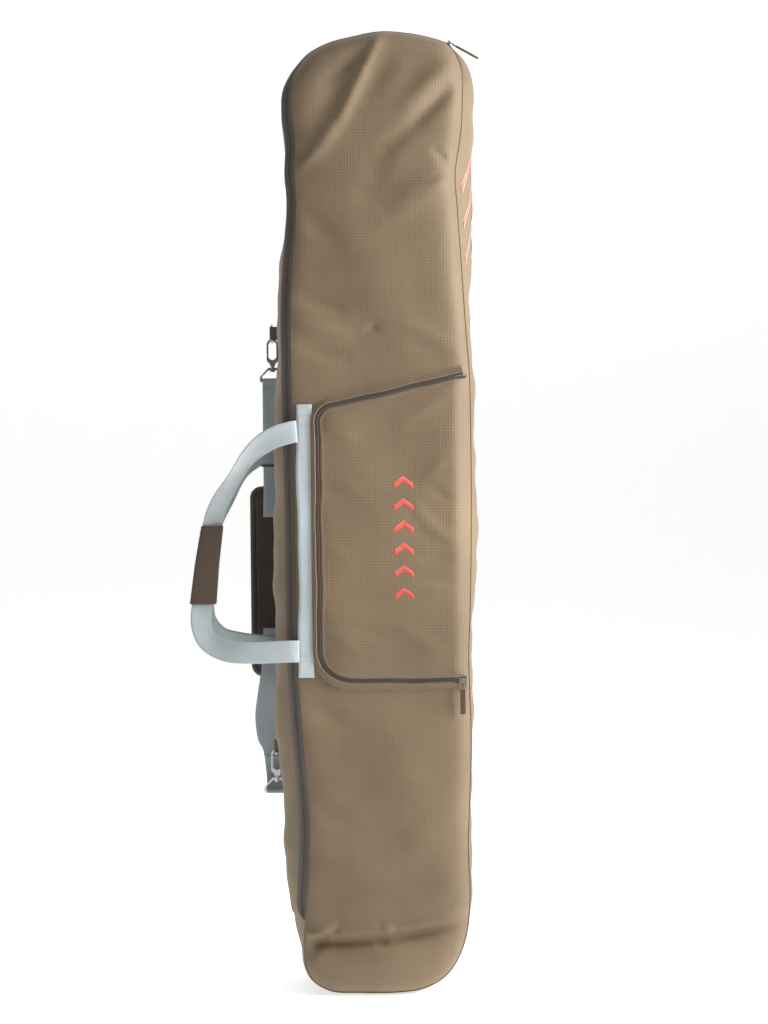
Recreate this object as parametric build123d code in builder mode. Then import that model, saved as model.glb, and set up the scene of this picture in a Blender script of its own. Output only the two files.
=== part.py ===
"""A padded snowboard bag: hollow body with a zipped front, a zipped pocket, two carry
handles in a hand wrap, and a shoulder strap on snap hooks.  Millimetres, +Z up, the front
faces -Y, and the origin is the middle of the base."""
import os
from math import cos, radians, sin, sqrt

from build123d import *

os.makedirs("parts", exist_ok=True)

# ---- bag body ----
bag_height = 1680
bag_width = 330
bag_depth = 160
half_width = bag_width / 2
front_y = -bag_depth / 2
back_y = bag_depth / 2
dome_radius = 312  # the top's long arc
dome_x = 12  # its centre, right of the middle
top_left_radius = 80
top_right_radius = 45
base_left_x = -half_width + 17  # where the leaning lower left side would meet the base
base_left_radius = 56
base_right_radius = 145
lean_start_z = 120  # below this the left side leans in
edge_rounding = 14
back_edge_rounding = 11
fabric = 1.0
foam = 5.0
lining = 0.8
front_rim = 23  # how far the front panel wraps round the sides
back_rim = 12
toe_height = 135  # the front below this is sewn shut
body_gap = 0.3  # clearance between bodies that move past each other

# ---- zips ----
zip_slit = 1.2
zip_tape_width = 6.4
zip_tape = 0.8
coil_width = 1.6
coil_height = 2.0
zip_end_right_z = bag_height - 97  # the main zip's upper end, down the right side
slider_length = 12
slider_width = 9
slider_plate = 1.4
slider_neck = 0.6
bridge_height = 4.4  # from the tape to the pull's pin line
pull_wire = 1.2
pull_loop_length = 16
pull_loop_width = 7
pull_tab_length = 44
pull_tab_width = 9
pull_tab_thickness = 2
slider_rest_angle = 22.5  # degrees right of the dome's top
pull_rest_angle = 29.5  # degrees below level

# ---- pocket ----
pocket_left = -104
pocket_right = half_width - 15
pocket_bottom = 547
pocket_top_left_z = 1020
pocket_top_right_z = 1075
pocket_corner_low = 55
pocket_corner_high = 30
pocket_rise = 6  # how far the pocket stands off the panel
pocket_hinge_x = pocket_right - 20
pocket_slider_x = pocket_right - 7
mark_x = 44
mark_low_z = 681
mark_high_z = 912
mark_width = 34
mark_rows = 6
mark_stroke = 9
mark_gap = 5  # below each chevron's feet

# ---- handles ----
webbing = 1.6
webbing_width = 38
strip_width = 27
strip_left_x = -half_width + 25
strip_low_z = 554
strip_high_z = 1028
handle_upper_z = 980
handle_lower_z = 596
handle_fall = 32  # the upper run slopes down this much before it turns
handle_rise = 60  # the straight part reaches this far above the wrap
handle_turn_z = 641
shoulder_x = -half_width - 81.5  # where the runs from the bag turn down or up to the wrap
handle_x = -half_width - 135  # centre of the hand wrap
handle_bend_x = -half_width - 7
wrap_side_x = handle_x + 28
wrap_y = -12
wrap_low_z = 681
wrap_high_z = 816
wrap_wall = 2

# ---- shoulder strap ----
strap_x = -half_width - 25
strap_y = back_y + 12
upper_ring_z = 1166
lower_ring_z = 418
ring_wire = 4
ring_height = 30  # between wire centres
ring_reach = 34
ring_corner = 13
ring_bar_y = back_y - 9
tab_height = 24
tab_wall = 1.6
hook_width = 22
hook_length = 46
hook_wall = 4
hook_thickness = 5
hook_base = 8
gate_play = 0.3
post_radius = 3
post_play = 0.3
frame_bar = 4
frame_height = 26
boss_height = 5
pad_width = 82
pad_low_z = 545
pad_high_z = 886
pad_corner = 16
pad_skin = 1.2
pad_foam = 9
upper_webbing_end_z = 833
lower_webbing_start_z = 631
slack_y = ring_bar_y + ring_reach + 7  # the slack lower webbing passes behind the hook and its ring here
adjuster_z = 938
adjuster_height = 26
side_ring_z = 734
side_ring_y = 50
side_ring_x = -half_width - 10
side_ring_wire = 2.4
side_ring_width = 20
side_ring_length = 19
side_tab_width = 8
side_ring_hole = 1.8

# ---- sizes that follow ----
front_rim_y = front_y + front_rim
back_rim_y = back_y - back_rim
dome_z = bag_height - dome_radius
zip_front_y = front_rim_y + zip_tape_width
zip_y = zip_front_y + zip_slit / 2
zip_rear_y = zip_y + zip_slit / 2
gusset_zip_y = zip_rear_y + zip_tape_width
gusset_front_y = front_rim_y + body_gap
pocket_y = front_y - pocket_rise


def depth_plane(y):
    """The plane across the bag at depth y, with X to the right and Z up, facing forward."""
    return Plane.XZ.offset(-y)


def outline(inset):
    """The bag's outline seen from the front, drawn smaller by inset."""
    left_z = dome_z + sqrt(dome_radius**2 - (half_width + dome_x) ** 2)
    right_z = dome_z + sqrt(dome_radius**2 - (half_width - dome_x) ** 2)
    with BuildSketch() as face:
        with BuildLine():
            ThreePointArc((-half_width, left_z), (dome_x, bag_height), (half_width, right_z))
            Polyline(
                (half_width, right_z),
                (half_width, 0),
                (base_left_x, 0),
                (-half_width, lean_start_z),
                (-half_width, left_z),
            )
        make_face()
        corners = (
            ((-half_width, left_z), top_left_radius),
            ((half_width, right_z), top_right_radius),
            ((half_width, 0), base_right_radius),
            ((base_left_x, 0), base_left_radius),
        )
        for place, radius in corners:
            fillet(face.vertices().sort_by_distance(place)[0], radius)
        if inset > 0:
            offset(amount=-inset)
    return face.sketch


skin_outline = outline(0)
foam_outline = outline(fabric)
lining_outline = outline(fabric + foam)
inside_outline = outline(fabric + foam + lining)
coil_outline = outline(zip_tape)
coil_inner_outline = outline(zip_tape + coil_height)


def panel_layer(face, rim_y, face_y, rounding, thickness):
    """One layer of a dished panel, open at rim_y, with a rounded edge at face_y."""
    toward_face = 1 if face_y > rim_y else -1
    with BuildPart() as layer:
        with BuildSketch(depth_plane(rim_y)):
            add(face)
        extrude(amount=rim_y - face_y)
        outer_face = layer.faces().sort_by(Axis.Y)[-1 if toward_face > 0 else 0]
        fillet(outer_face.edges(), rounding)
        rim_face = layer.faces().sort_by(Axis.Y)[0 if toward_face > 0 else -1]
        offset(amount=-thickness, openings=rim_face)
    return layer.part


def ring_layer(outer_face, inner_face, rear_y, front_edge_y):
    """A band that follows the outline, between two depths."""
    with BuildPart() as band:
        with BuildSketch(depth_plane(rear_y)):
            add(outer_face)
            add(inner_face, mode=Mode.SUBTRACT)
        extrude(amount=rear_y - front_edge_y)
    return band.part


def zip_zone(grow):
    """The stretch of the outline that the main zip runs along: up the left and over the top."""
    reach = bag_height + bag_width
    low_z = toe_height + grow
    right_z = zip_end_right_z + grow
    with BuildSketch() as zone:
        with BuildLine():
            Polyline(
                (-reach, low_z),
                (0, low_z),
                (0, right_z),
                (reach, right_z),
                (reach, reach),
                (-reach, reach),
                close=True,
            )
        make_face()
    return zone.sketch


# ---- bag walls: back panel, gusset ring, front panel and its sewn toe, three layers each ----
layers = (
    ("shell", skin_outline, foam_outline, 0, fabric),
    ("foam", foam_outline, lining_outline, fabric, foam),
    ("lining", lining_outline, inside_outline, fabric + foam, lining),
)
for layer_name, layer_face, inner_face, inset, thickness in layers:
    back_layer = panel_layer(
        layer_face, back_rim_y, back_y - inset, back_edge_rounding - inset, thickness
    )
    with BuildPart() as back:
        add(back_layer)
    back.part.label = f"back_{layer_name}"
    export_step(back.part, f"parts/back_{layer_name}.step")

    front_layer = panel_layer(
        layer_face, front_rim_y, front_y + inset, edge_rounding - inset, thickness
    )
    with BuildPart() as front:
        add(front_layer)
        split(bisect_by=Plane.XY.offset(toe_height + body_gap / 2), keep=Keep.TOP)
    front.part.label = f"front_{layer_name}"
    export_step(front.part, f"parts/front_{layer_name}.step")

    with BuildPart() as toe:
        add(front_layer)
        split(bisect_by=Plane.XY.offset(toe_height - body_gap / 2), keep=Keep.BOTTOM)
    toe.part.label = f"toe_{layer_name}"
    export_step(toe.part, f"parts/toe_{layer_name}.step")

    gusset_layer = ring_layer(layer_face, inner_face, back_rim_y, gusset_zip_y)
    gusset_reach = ring_layer(layer_face, inner_face, gusset_zip_y, gusset_front_y)
    with BuildPart() as gusset:
        add(gusset_layer)
        if inset == 0:
            add(gusset_reach)
            with BuildSketch(depth_plane(gusset_zip_y)):
                add(zip_zone(0))
            extrude(amount=front_rim, mode=Mode.SUBTRACT)
    gusset.part.label = f"gusset_{layer_name}"
    export_step(gusset.part, f"parts/gusset_{layer_name}.step")

# ---- rear seam tape, which covers the inside of the seam round the back panel ----
seam_tape_outline = outline(fabric + foam + lining + zip_tape)
with BuildPart() as rear_seam_tape:
    add(ring_layer(inside_outline, seam_tape_outline, back_rim_y + 1, back_rim_y - back_rim))
rear_seam_tape.part.label = "rear_seam_tape"
export_step(rear_seam_tape.part, "parts/rear_seam_tape.step")

# ---- main zip: two tapes with a coil half inside each ----
zip_pieces = (
    ("zip_tape_rear", skin_outline, coil_outline, gusset_zip_y, zip_rear_y, 0),
    ("zip_tape_front", skin_outline, coil_outline, zip_front_y, front_rim_y, body_gap),
    ("zip_coil_rear", coil_outline, coil_inner_outline, zip_rear_y + coil_width, zip_rear_y, 0),
    ("zip_coil_front", coil_outline, coil_inner_outline, zip_front_y, zip_front_y - coil_width, body_gap),
)
for piece_name, outer_face, inner_face, rear_y, edge_y, grow in zip_pieces:
    zone = zip_zone(grow)
    with BuildPart() as zip_piece:
        with BuildSketch(depth_plane(rear_y)):
            add(outer_face)
            add(inner_face, mode=Mode.SUBTRACT)
            add(zone, mode=Mode.INTERSECT)
        extrude(amount=rear_y - edge_y)
    zip_piece.part.label = piece_name
    export_step(zip_piece.part, f"parts/{piece_name}.step")

with BuildPart() as zip_bottom_stop:
    stop_side = 3
    stop_rise = 1.4
    with Locations((-half_width - stop_rise / 2, zip_rear_y + stop_side / 2, toe_height + 2 * stop_side)):
        Box(stop_rise, stop_side, 2 * stop_side)
    fillet(zip_bottom_stop.faces().sort_by(Axis.X)[0].edges(), 0.6)
zip_bottom_stop.part.label = "zip_bottom_stop"
export_step(zip_bottom_stop.part, "parts/zip_bottom_stop.step")


# ---- zip sliders: two plates joined by a neck through the slit, with a bridge for the pull ----
pin_hole = pull_wire * sqrt(2) / 2 + body_gap
plate_below = zip_tape + coil_height + body_gap


def slider_body(place, bridge_turn):
    """A slider on the plane place, whose X runs along the zip and whose normal points outwards."""
    with BuildPart(place) as slider:
        for low in (body_gap, -plate_below - slider_plate):
            with BuildSketch(place.offset(low)):
                RectangleRounded(slider_length, slider_width, 3)
            extrude(amount=slider_plate)
        with BuildSketch(place.offset(-plate_below)):
            Rectangle(slider_length / 3, slider_neck)
        extrude(amount=plate_below + body_gap)
        bridge_low = body_gap + slider_plate
        with BuildSketch(place.offset(bridge_low)):
            Rectangle(5, 2.4, rotation=bridge_turn)
        extrude(amount=bridge_height + 2 * pull_wire - bridge_low)
        pin_line = Location((0, 0, bridge_height), (0, 0, bridge_turn)) * Location((0, 0, 0), (90, 0, 0))
        with Locations(pin_line):
            Cylinder(pin_hole, slider_width, mode=Mode.SUBTRACT)
    return slider.part


def pull_wire_loop(place):
    """The wire loop of a pull: its pin lies on the X axis of place, and it runs along +Y."""
    with BuildPart() as loop:
        with BuildSketch(place.offset(-pull_wire / 2)):
            with Locations((0, pull_loop_length / 2)):
                RectangleRounded(pull_loop_width + pull_wire, pull_loop_length + pull_wire, 1.5)
                RectangleRounded(
                    pull_loop_width - pull_wire, pull_loop_length - pull_wire, 0.1, mode=Mode.SUBTRACT
                )
        extrude(amount=pull_wire)
    return loop.part


def pull_webbing_tab(place):
    """The folded tab of a pull, with an eye round the far side of the wire loop."""
    eye_y = pull_loop_length
    with BuildPart() as tab:
        with BuildSketch(place.offset(-pull_tab_thickness / 2)):
            with Locations((0, eye_y + pull_tab_length / 2 - 2)):
                RectangleRounded(pull_tab_width, pull_tab_length, 1.5)
            with Locations((0, eye_y - pull_loop_length / 2)):
                Rectangle(pull_tab_width, pull_loop_length - 2.4, mode=Mode.SUBTRACT)
        extrude(amount=pull_tab_thickness)
        with BuildSketch(Plane(origin=place.origin, x_dir=place.y_dir, z_dir=place.x_dir)):
            with Locations((eye_y, 0)):
                Rectangle(pull_wire + 0.2, pull_wire + 0.2)
        extrude(amount=pull_tab_width, both=True, mode=Mode.SUBTRACT)
        for side in (-1, 1):
            with BuildSketch(place.offset(-pull_wire / 2 - 0.1)):
                with Locations((side * pull_loop_width / 2, eye_y - pull_loop_length / 2)):
                    Rectangle(pull_wire + 0.2, pull_loop_length)
            extrude(amount=pull_wire + 0.2, mode=Mode.SUBTRACT)
    return tab.part


rest = radians(slider_rest_angle)
slider_plane = Plane(
    origin=(dome_x + dome_radius * sin(rest), zip_y, dome_z + dome_radius * cos(rest)),
    x_dir=(cos(rest), 0, -sin(rest)),
    z_dir=(sin(rest), 0, cos(rest)),
)
main_slider_part = slider_body(slider_plane, 0)
with BuildPart() as main_slider:
    add(main_slider_part)
main_slider.part.label = "main_slider"
export_step(main_slider.part, "parts/main_slider.step")

hang = radians(pull_rest_angle)
main_pull_plane = Plane(
    origin=slider_plane.offset(bridge_height).origin,
    x_dir=(0, 1, 0),
    z_dir=(-sin(hang), 0, -cos(hang)),
)
main_loop_part = pull_wire_loop(main_pull_plane)
main_tab_part = pull_webbing_tab(main_pull_plane)
with BuildPart() as main_pull_loop:
    add(main_loop_part)
main_pull_loop.part.label = "main_pull_loop"
export_step(main_pull_loop.part, "parts/main_pull_loop.step")
with BuildPart() as main_pull_tab:
    add(main_tab_part)
main_pull_tab.part.label = "main_pull_tab"
export_step(main_pull_tab.part, "parts/main_pull_tab.step")


# ---- pocket: a low wall, two tapes with a coil half behind each, the flap and its mark ----
def pocket_area(grow, right_x):
    """The area inside the pocket's zip line, grown outwards by grow and cut off at right_x."""
    slope = (pocket_top_right_z - pocket_top_left_z) / (pocket_right - pocket_left)
    far_x = pocket_right + bag_width
    far_z = pocket_top_right_z + slope * bag_width
    with BuildSketch() as area:
        with BuildLine():
            Polyline(
                (pocket_left, pocket_bottom),
                (far_x, pocket_bottom),
                (far_x, far_z),
                (pocket_left, pocket_top_left_z),
                close=True,
            )
        make_face()
        low_corner = area.vertices().sort_by_distance((pocket_left, pocket_bottom))[0]
        fillet(low_corner, pocket_corner_low)
        high_corner = area.vertices().sort_by_distance((pocket_left, pocket_top_left_z))[0]
        fillet(high_corner, pocket_corner_high)
        offset(amount=grow)
        with Locations(((right_x - bag_height / 2), bag_height / 2)):
            Rectangle(bag_height, bag_height * 2, mode=Mode.INTERSECT)
    return area.sketch


half_slit = zip_slit / 2
tape_edge = half_slit + zip_tape_width
pocket_face_y = pocket_y - fabric
fixed_x = pocket_hinge_x + body_gap
pocket_bands = (
    ("pocket_wall", tape_edge, tape_edge - fabric, pocket_right, front_y, pocket_y),
    ("pocket_tape_outer", tape_edge, half_slit, pocket_right, pocket_y, pocket_face_y),
    ("pocket_coil_outer", half_slit + coil_width, half_slit, pocket_right, pocket_y + coil_height, pocket_y),
    ("pocket_tape_inner", -half_slit, -tape_edge, pocket_hinge_x, pocket_y, pocket_face_y),
    (
        "pocket_coil_inner",
        -half_slit,
        -half_slit - coil_width,
        pocket_hinge_x,
        pocket_y + coil_height,
        pocket_y,
    ),
)
for piece_name, outer_grow, inner_grow, right_x, rear_y, face_y in pocket_bands:
    outer_area = pocket_area(outer_grow, right_x)
    inner_area = pocket_area(inner_grow, right_x + 1)
    with BuildPart() as pocket_piece:
        with BuildSketch(depth_plane(rear_y)):
            add(outer_area)
            add(inner_area, mode=Mode.SUBTRACT)
        extrude(amount=rear_y - face_y)
    pocket_piece.part.label = piece_name
    export_step(pocket_piece.part, f"parts/{piece_name}.step")

flap_area = pocket_area(-tape_edge, pocket_hinge_x)
with BuildPart() as pocket_flap:
    with BuildSketch(depth_plane(pocket_y)):
        add(flap_area)
    extrude(amount=fabric)
pocket_flap.part.label = "pocket_flap"
export_step(pocket_flap.part, "parts/pocket_flap.step")

side_area = pocket_area(-half_slit, pocket_right)
side_cut = pocket_area(0, fixed_x)
with BuildPart() as pocket_side:
    with BuildSketch(depth_plane(pocket_y)):
        add(side_area)
        add(side_cut, mode=Mode.SUBTRACT)
    extrude(amount=fabric)
    with BuildSketch(depth_plane(front_y)):
        with Locations((pocket_right - fabric / 2, (pocket_bottom + pocket_top_right_z) / 2)):
            Rectangle(fabric, pocket_top_right_z - pocket_bottom - 2 * tape_edge)
    extrude(amount=pocket_rise)
pocket_side.part.label = "pocket_side"
export_step(pocket_side.part, "parts/pocket_side.step")

mark_step = (mark_high_z - mark_low_z) / mark_rows
with BuildPart() as pocket_mark:
    with BuildSketch(depth_plane(pocket_face_y)):
        for row in range(mark_rows):
            foot_z = mark_low_z + row * mark_step + mark_gap
            tip_z = foot_z + mark_step - mark_stroke - mark_gap
            with BuildLine():
                Polyline(
                    (mark_x - mark_width / 2, foot_z),
                    (mark_x, tip_z - mark_stroke),
                    (mark_x + mark_width / 2, foot_z),
                    (mark_x + mark_width / 2, foot_z + mark_stroke),
                    (mark_x, tip_z),
                    (mark_x - mark_width / 2, foot_z + mark_stroke),
                    close=True,
                )
            make_face()
    extrude(amount=0.6)
pocket_mark.part.label = "pocket_mark"
export_step(pocket_mark.part, "parts/pocket_mark.step")

pocket_slider_plane = Plane(
    origin=(pocket_slider_x, pocket_face_y, pocket_bottom), x_dir=(1, 0, 0), z_dir=(0, -1, 0)
)
pocket_slider_part = slider_body(pocket_slider_plane, 90)
with BuildPart() as pocket_slider:
    add(pocket_slider_part)
pocket_slider.part.label = "pocket_slider"
export_step(pocket_slider.part, "parts/pocket_slider.step")

pocket_pull_plane = Plane(
    origin=pocket_slider_plane.offset(bridge_height).origin, x_dir=(-1, 0, 0), z_dir=(0, -1, 0)
)
pocket_loop_part = pull_wire_loop(pocket_pull_plane)
pocket_tab_part = pull_webbing_tab(pocket_pull_plane)
with BuildPart() as pocket_pull_loop:
    add(pocket_loop_part)
pocket_pull_loop.part.label = "pocket_pull_loop"
export_step(pocket_pull_loop.part, "parts/pocket_pull_loop.step")
with BuildPart() as pocket_pull_tab:
    add(pocket_tab_part)
pocket_pull_tab.part.label = "pocket_pull_tab"
export_step(pocket_pull_tab.part, "parts/pocket_pull_tab.step")

# ---- handles: a strip sewn to each face, and webbing that leaves it for the hand wrap ----
strip_middle_x = strip_left_x + strip_width / 2
strip_middle_z = (strip_low_z + strip_high_z) / 2
sides = (("front", front_y, -1, wrap_y - webbing), ("rear", back_y, 1, wrap_y + webbing))
for side_name, face_y, outward, middle_y in sides:
    with BuildPart() as strip:
        with BuildSketch(depth_plane(face_y)):
            with Locations((strip_middle_x, strip_middle_z)):
                Rectangle(strip_width, strip_high_z - strip_low_z)
        extrude(amount=-outward * webbing)
    strip.part.label = f"{side_name}_handle_strip"
    export_step(strip.part, f"parts/{side_name}_handle_strip.step")

    start_y = face_y + outward * (1.5 * webbing + body_gap)
    bends = [
        (strip_left_x - body_gap, start_y),
        (handle_bend_x, start_y),
        (wrap_side_x, middle_y),
        (handle_x - webbing_width, middle_y),
    ]
    with BuildPart() as handle:
        with BuildSketch(Plane.XY.offset(handle_lower_z - webbing_width)):
            with BuildLine():
                bent_line = FilletPolyline(*bends, radius=12)
            trace(bent_line, line_width=webbing)
        extrude(amount=handle_upper_z - handle_lower_z + 2 * webbing_width)
        with BuildSketch(depth_plane(bag_depth)):
            with BuildLine():
                route = FilletPolyline(
                    (strip_left_x - body_gap, handle_upper_z),
                    (shoulder_x, handle_upper_z - handle_fall),
                    (handle_x, wrap_high_z + handle_rise),
                    (handle_x, handle_turn_z),
                    (handle_x + 4, handle_lower_z + 14),
                    (shoulder_x, handle_lower_z),
                    (strip_left_x - body_gap, handle_lower_z),
                    radius=[50, 60, 60, 20, 30],
                )
            trace(route, line_width=webbing_width)
        extrude(amount=2 * bag_depth, mode=Mode.INTERSECT)
        with Locations((strip_left_x + webbing_width / 2, 0, strip_middle_z)):
            Box(webbing_width, 2 * bag_depth, bag_height, mode=Mode.SUBTRACT)
    handle.part.label = f"{side_name}_handle"
    export_step(handle.part, f"parts/{side_name}_handle.step")

wrap_width = webbing_width + 2 * wrap_wall + 2
wrap_depth = 3 * webbing + 2 * wrap_wall + 1
with BuildPart() as hand_wrap:
    with BuildSketch(Plane.XY.offset(wrap_low_z)):
        with Locations((handle_x, wrap_y)):
            RectangleRounded(wrap_width, wrap_depth, 3)
            Rectangle(wrap_width - 2 * wrap_wall, wrap_depth - 2 * wrap_wall, mode=Mode.SUBTRACT)
    extrude(amount=wrap_high_z - wrap_low_z)
hand_wrap.part.label = "hand_wrap"
export_step(hand_wrap.part, "parts/hand_wrap.step")

# ---- shoulder strap ends: a tab and D-ring on the rear left seam, and a snap hook on each ring ----
loop_hole = frame_bar / 2 * sqrt(2) + 0.1
loop_outer = loop_hole + webbing
ring_hole = ring_wire / 2 + body_gap
strap_plane = Plane.YZ.offset(strap_x)
hook_drop = 2 * gate_play  # how far the hook hangs below the ring's wire
ends = (("upper", upper_ring_z), ("lower", lower_ring_z))
for end_name, ring_z in ends:
    with BuildPart() as ring_tab:
        with BuildSketch(Plane.XY.offset(ring_z - tab_height / 2)):
            with Locations((strap_x, ring_bar_y)):
                Circle(ring_hole + tab_wall)
            with Locations(((strap_x - half_width) / 2, ring_bar_y - ring_hole)):
                Rectangle(-half_width - strap_x, 2 * tab_wall)
            with Locations((strap_x, ring_bar_y)):
                Circle(ring_hole, mode=Mode.SUBTRACT)
        extrude(amount=tab_height)
    ring_tab.part.label = f"{end_name}_ring_tab"
    export_step(ring_tab.part, f"parts/{end_name}_ring_tab.step")

    half_ring = ring_height / 2
    with BuildPart() as ring:
        with BuildLine(strap_plane):
            ring_path = FilletPolyline(
                (ring_bar_y, ring_z),
                (ring_bar_y, ring_z + half_ring),
                (ring_bar_y + ring_reach, ring_z + half_ring),
                (ring_bar_y + ring_reach, ring_z - half_ring),
                (ring_bar_y, ring_z - half_ring),
                (ring_bar_y, ring_z),
                radius=[0, 3, ring_corner, ring_corner, 3],
                close=True,
            )
        with BuildSketch(Plane(origin=(strap_x, ring_bar_y, ring_z), z_dir=(0, 0, 1))):
            Circle(ring_wire / 2)
        sweep(path=ring_path)
    ring.part.label = f"{end_name}_ring"
    export_step(ring.part, f"parts/{end_name}_ring.step")

    # the hook's loop encloses the ring's lower wire, which passes through it along Y
    corner_y = ring_bar_y + ring_reach - ring_corner
    corner_drop = sqrt(ring_corner**2 - (strap_y - corner_y) ** 2)
    wire_z = ring_z - half_ring + ring_corner - corner_drop
    hook_top_z = wire_z + ring_wire / 2 + hook_drop + hook_wall
    hook_middle_z = hook_top_z - hook_length / 2
    hook_low_z = hook_top_z - hook_length
    boss_top_z = hook_low_z - 6
    boss_low_z = boss_top_z - boss_height
    frame_low_z = boss_top_z - frame_height
    gate_low_z = hook_middle_z - 10
    gate_top_z = hook_middle_z + 12
    wall_x = strap_x - hook_width / 2 + hook_wall / 2
    with BuildPart() as hook:
        with BuildSketch(depth_plane(strap_y + hook_thickness / 2)):
            with Locations((strap_x, hook_middle_z)):
                SlotCenterToCenter(hook_length - hook_width, hook_width, rotation=90)
            opening_low_z = hook_low_z + hook_base
            opening_top_z = hook_top_z - hook_wall
            opening_width = hook_width - 2 * hook_wall
            with Locations((strap_x, (opening_low_z + opening_top_z) / 2)):
                SlotCenterToCenter(
                    opening_top_z - opening_low_z - opening_width,
                    opening_width,
                    rotation=90,
                    mode=Mode.SUBTRACT,
                )
            with Locations((wall_x, (gate_low_z + gate_top_z) / 2)):
                Rectangle(hook_wall + 1.2, gate_top_z - gate_low_z, mode=Mode.SUBTRACT)
            with Locations((strap_x, hook_low_z)):
                Rectangle(10, 6)
        extrude(amount=hook_thickness)
        with Locations((strap_x, strap_y, (hook_low_z + boss_low_z - post_play) / 2)):
            Cylinder(post_radius, hook_low_z - boss_low_z + post_play)
        with Locations((strap_x, strap_y, boss_low_z - post_play - 1.25)):
            Cylinder(post_radius + 1.4, 2.5)
    hook.part.label = f"{end_name}_hook"
    export_step(hook.part, f"parts/{end_name}_hook.step")

    gate_width = hook_wall - 2 * gate_play
    with BuildPart() as gate:
        with BuildSketch(depth_plane(strap_y + hook_thickness / 2 - gate_play)):
            with Locations((wall_x, (gate_low_z + gate_top_z) / 2)):
                SlotOverall(gate_top_z - gate_low_z - 2 * gate_play, gate_width, rotation=90)
        extrude(amount=hook_thickness - 2 * gate_play)
    gate.part.label = f"{end_name}_gate"
    export_step(gate.part, f"parts/{end_name}_gate.step")

    slot_width = webbing_width + 2 * body_gap
    frame_width = slot_width + 2 * frame_bar
    with BuildPart() as frame:
        with BuildSketch(depth_plane(strap_y + frame_bar / 2)):
            with BuildLine():
                Polyline(
                    (strap_x - frame_width / 2, frame_low_z),
                    (strap_x + frame_width / 2, frame_low_z),
                    (strap_x + frame_width / 2, frame_low_z + 9),
                    (strap_x + 8, boss_top_z),
                    (strap_x - 8, boss_top_z),
                    (strap_x - frame_width / 2, frame_low_z + 9),
                    close=True,
                )
            make_face()
            with BuildLine():
                Polyline(
                    (strap_x - slot_width / 2, frame_low_z + frame_bar),
                    (strap_x + slot_width / 2, frame_low_z + frame_bar),
                    (strap_x + slot_width / 2, frame_low_z + 10),
                    (strap_x + 8, boss_low_z),
                    (strap_x - 8, boss_low_z),
                    (strap_x - slot_width / 2, frame_low_z + 10),
                    close=True,
                )
            make_face(mode=Mode.SUBTRACT)
        extrude(amount=frame_bar)
        with Locations((strap_x, strap_y, (boss_top_z + boss_low_z) / 2)):
            Cylinder(post_radius + post_play + 2, boss_height)
            Cylinder(post_radius + post_play, frame_height, mode=Mode.SUBTRACT)
    frame.part.label = f"{end_name}_hook_frame"
    export_step(frame.part, f"parts/{end_name}_hook_frame.step")

    bar_z = frame_low_z + frame_bar / 2
    if end_name == "upper":
        run = [(strap_y, bar_z - loop_outer + webbing / 2), (strap_y, upper_webbing_end_z)]
        bends = []
    else:
        run = [
            (strap_y + loop_outer - webbing / 2, bar_z),
            (slack_y, bar_z + 34),
            (slack_y, bar_z + 150),
            (strap_y, pad_low_z - 8),
            (strap_y, lower_webbing_start_z),
        ]
        bends = [30, 60, 60]
    with BuildPart() as strap_webbing:
        with BuildSketch(Plane.YZ.offset(strap_x - webbing_width / 2)):
            with BuildLine():
                run_line = FilletPolyline(*run, radius=bends) if bends else Line(*run)
            trace(run_line, line_width=webbing)
            with Locations((strap_y, bar_z)):
                Circle(loop_outer)
                Circle(loop_hole, mode=Mode.SUBTRACT)
        extrude(amount=webbing_width)
    strap_webbing.part.label = f"strap_webbing_{end_name}"
    export_step(strap_webbing.part, f"parts/strap_webbing_{end_name}.step")

# ---- shoulder pad: a face and a backing with foam between, sewn to the webbing ----
pad_start_y = strap_y + webbing / 2
pad_layers = (
    ("pad_face", pad_start_y, pad_skin, 0),
    ("pad_foam", pad_start_y + pad_skin, pad_foam, 1),
    ("pad_backing", pad_start_y + pad_skin + pad_foam, pad_skin, 0),
)
for layer_name, near_y, thickness, inset in pad_layers:
    with BuildPart() as pad_layer:
        with BuildSketch(depth_plane(near_y + thickness)):
            with Locations((strap_x, (pad_low_z + pad_high_z) / 2)):
                RectangleRounded(
                    pad_width - 2 * inset, pad_high_z - pad_low_z - 2 * inset, pad_corner - inset
                )
        extrude(amount=thickness)
    pad_layer.part.label = layer_name
    export_step(pad_layer.part, f"parts/{layer_name}.step")

# ---- strap adjuster: two bars in front of the webbing and one behind it ----
bar_reach = webbing / 2 + body_gap
with BuildPart() as strap_adjuster:
    for side in (-1, 1):
        with Locations((strap_x + side * (slot_width + frame_bar) / 2, strap_y, adjuster_z)):
            Box(frame_bar, 2 * (bar_reach + 2), adjuster_height)
        with Locations((strap_x, strap_y - bar_reach - 1, adjuster_z + side * (adjuster_height / 2 - 2))):
            Box(slot_width + frame_bar, 2, 4)
    with Locations((strap_x, strap_y + bar_reach + 1, adjuster_z)):
        Box(slot_width + frame_bar, 2, 4)
strap_adjuster.part.label = "strap_adjuster"
export_step(strap_adjuster.part, "parts/strap_adjuster.step")

# ---- accessory ring: a small oval link in a tab on the left of the gusset ----
with BuildPart() as side_ring_tab:
    with BuildSketch(depth_plane(side_ring_y + side_tab_width / 2)):
        with Locations(((side_ring_x - half_width) / 2, side_ring_z)):
            Rectangle(-half_width - side_ring_x, 2 * tab_wall)
        with Locations((side_ring_x, side_ring_z)):
            Circle(side_ring_hole + tab_wall)
            Circle(side_ring_hole, mode=Mode.SUBTRACT)
    extrude(amount=side_tab_width)
side_ring_tab.part.label = "side_ring_tab"
export_step(side_ring_tab.part, "parts/side_ring_tab.step")

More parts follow.
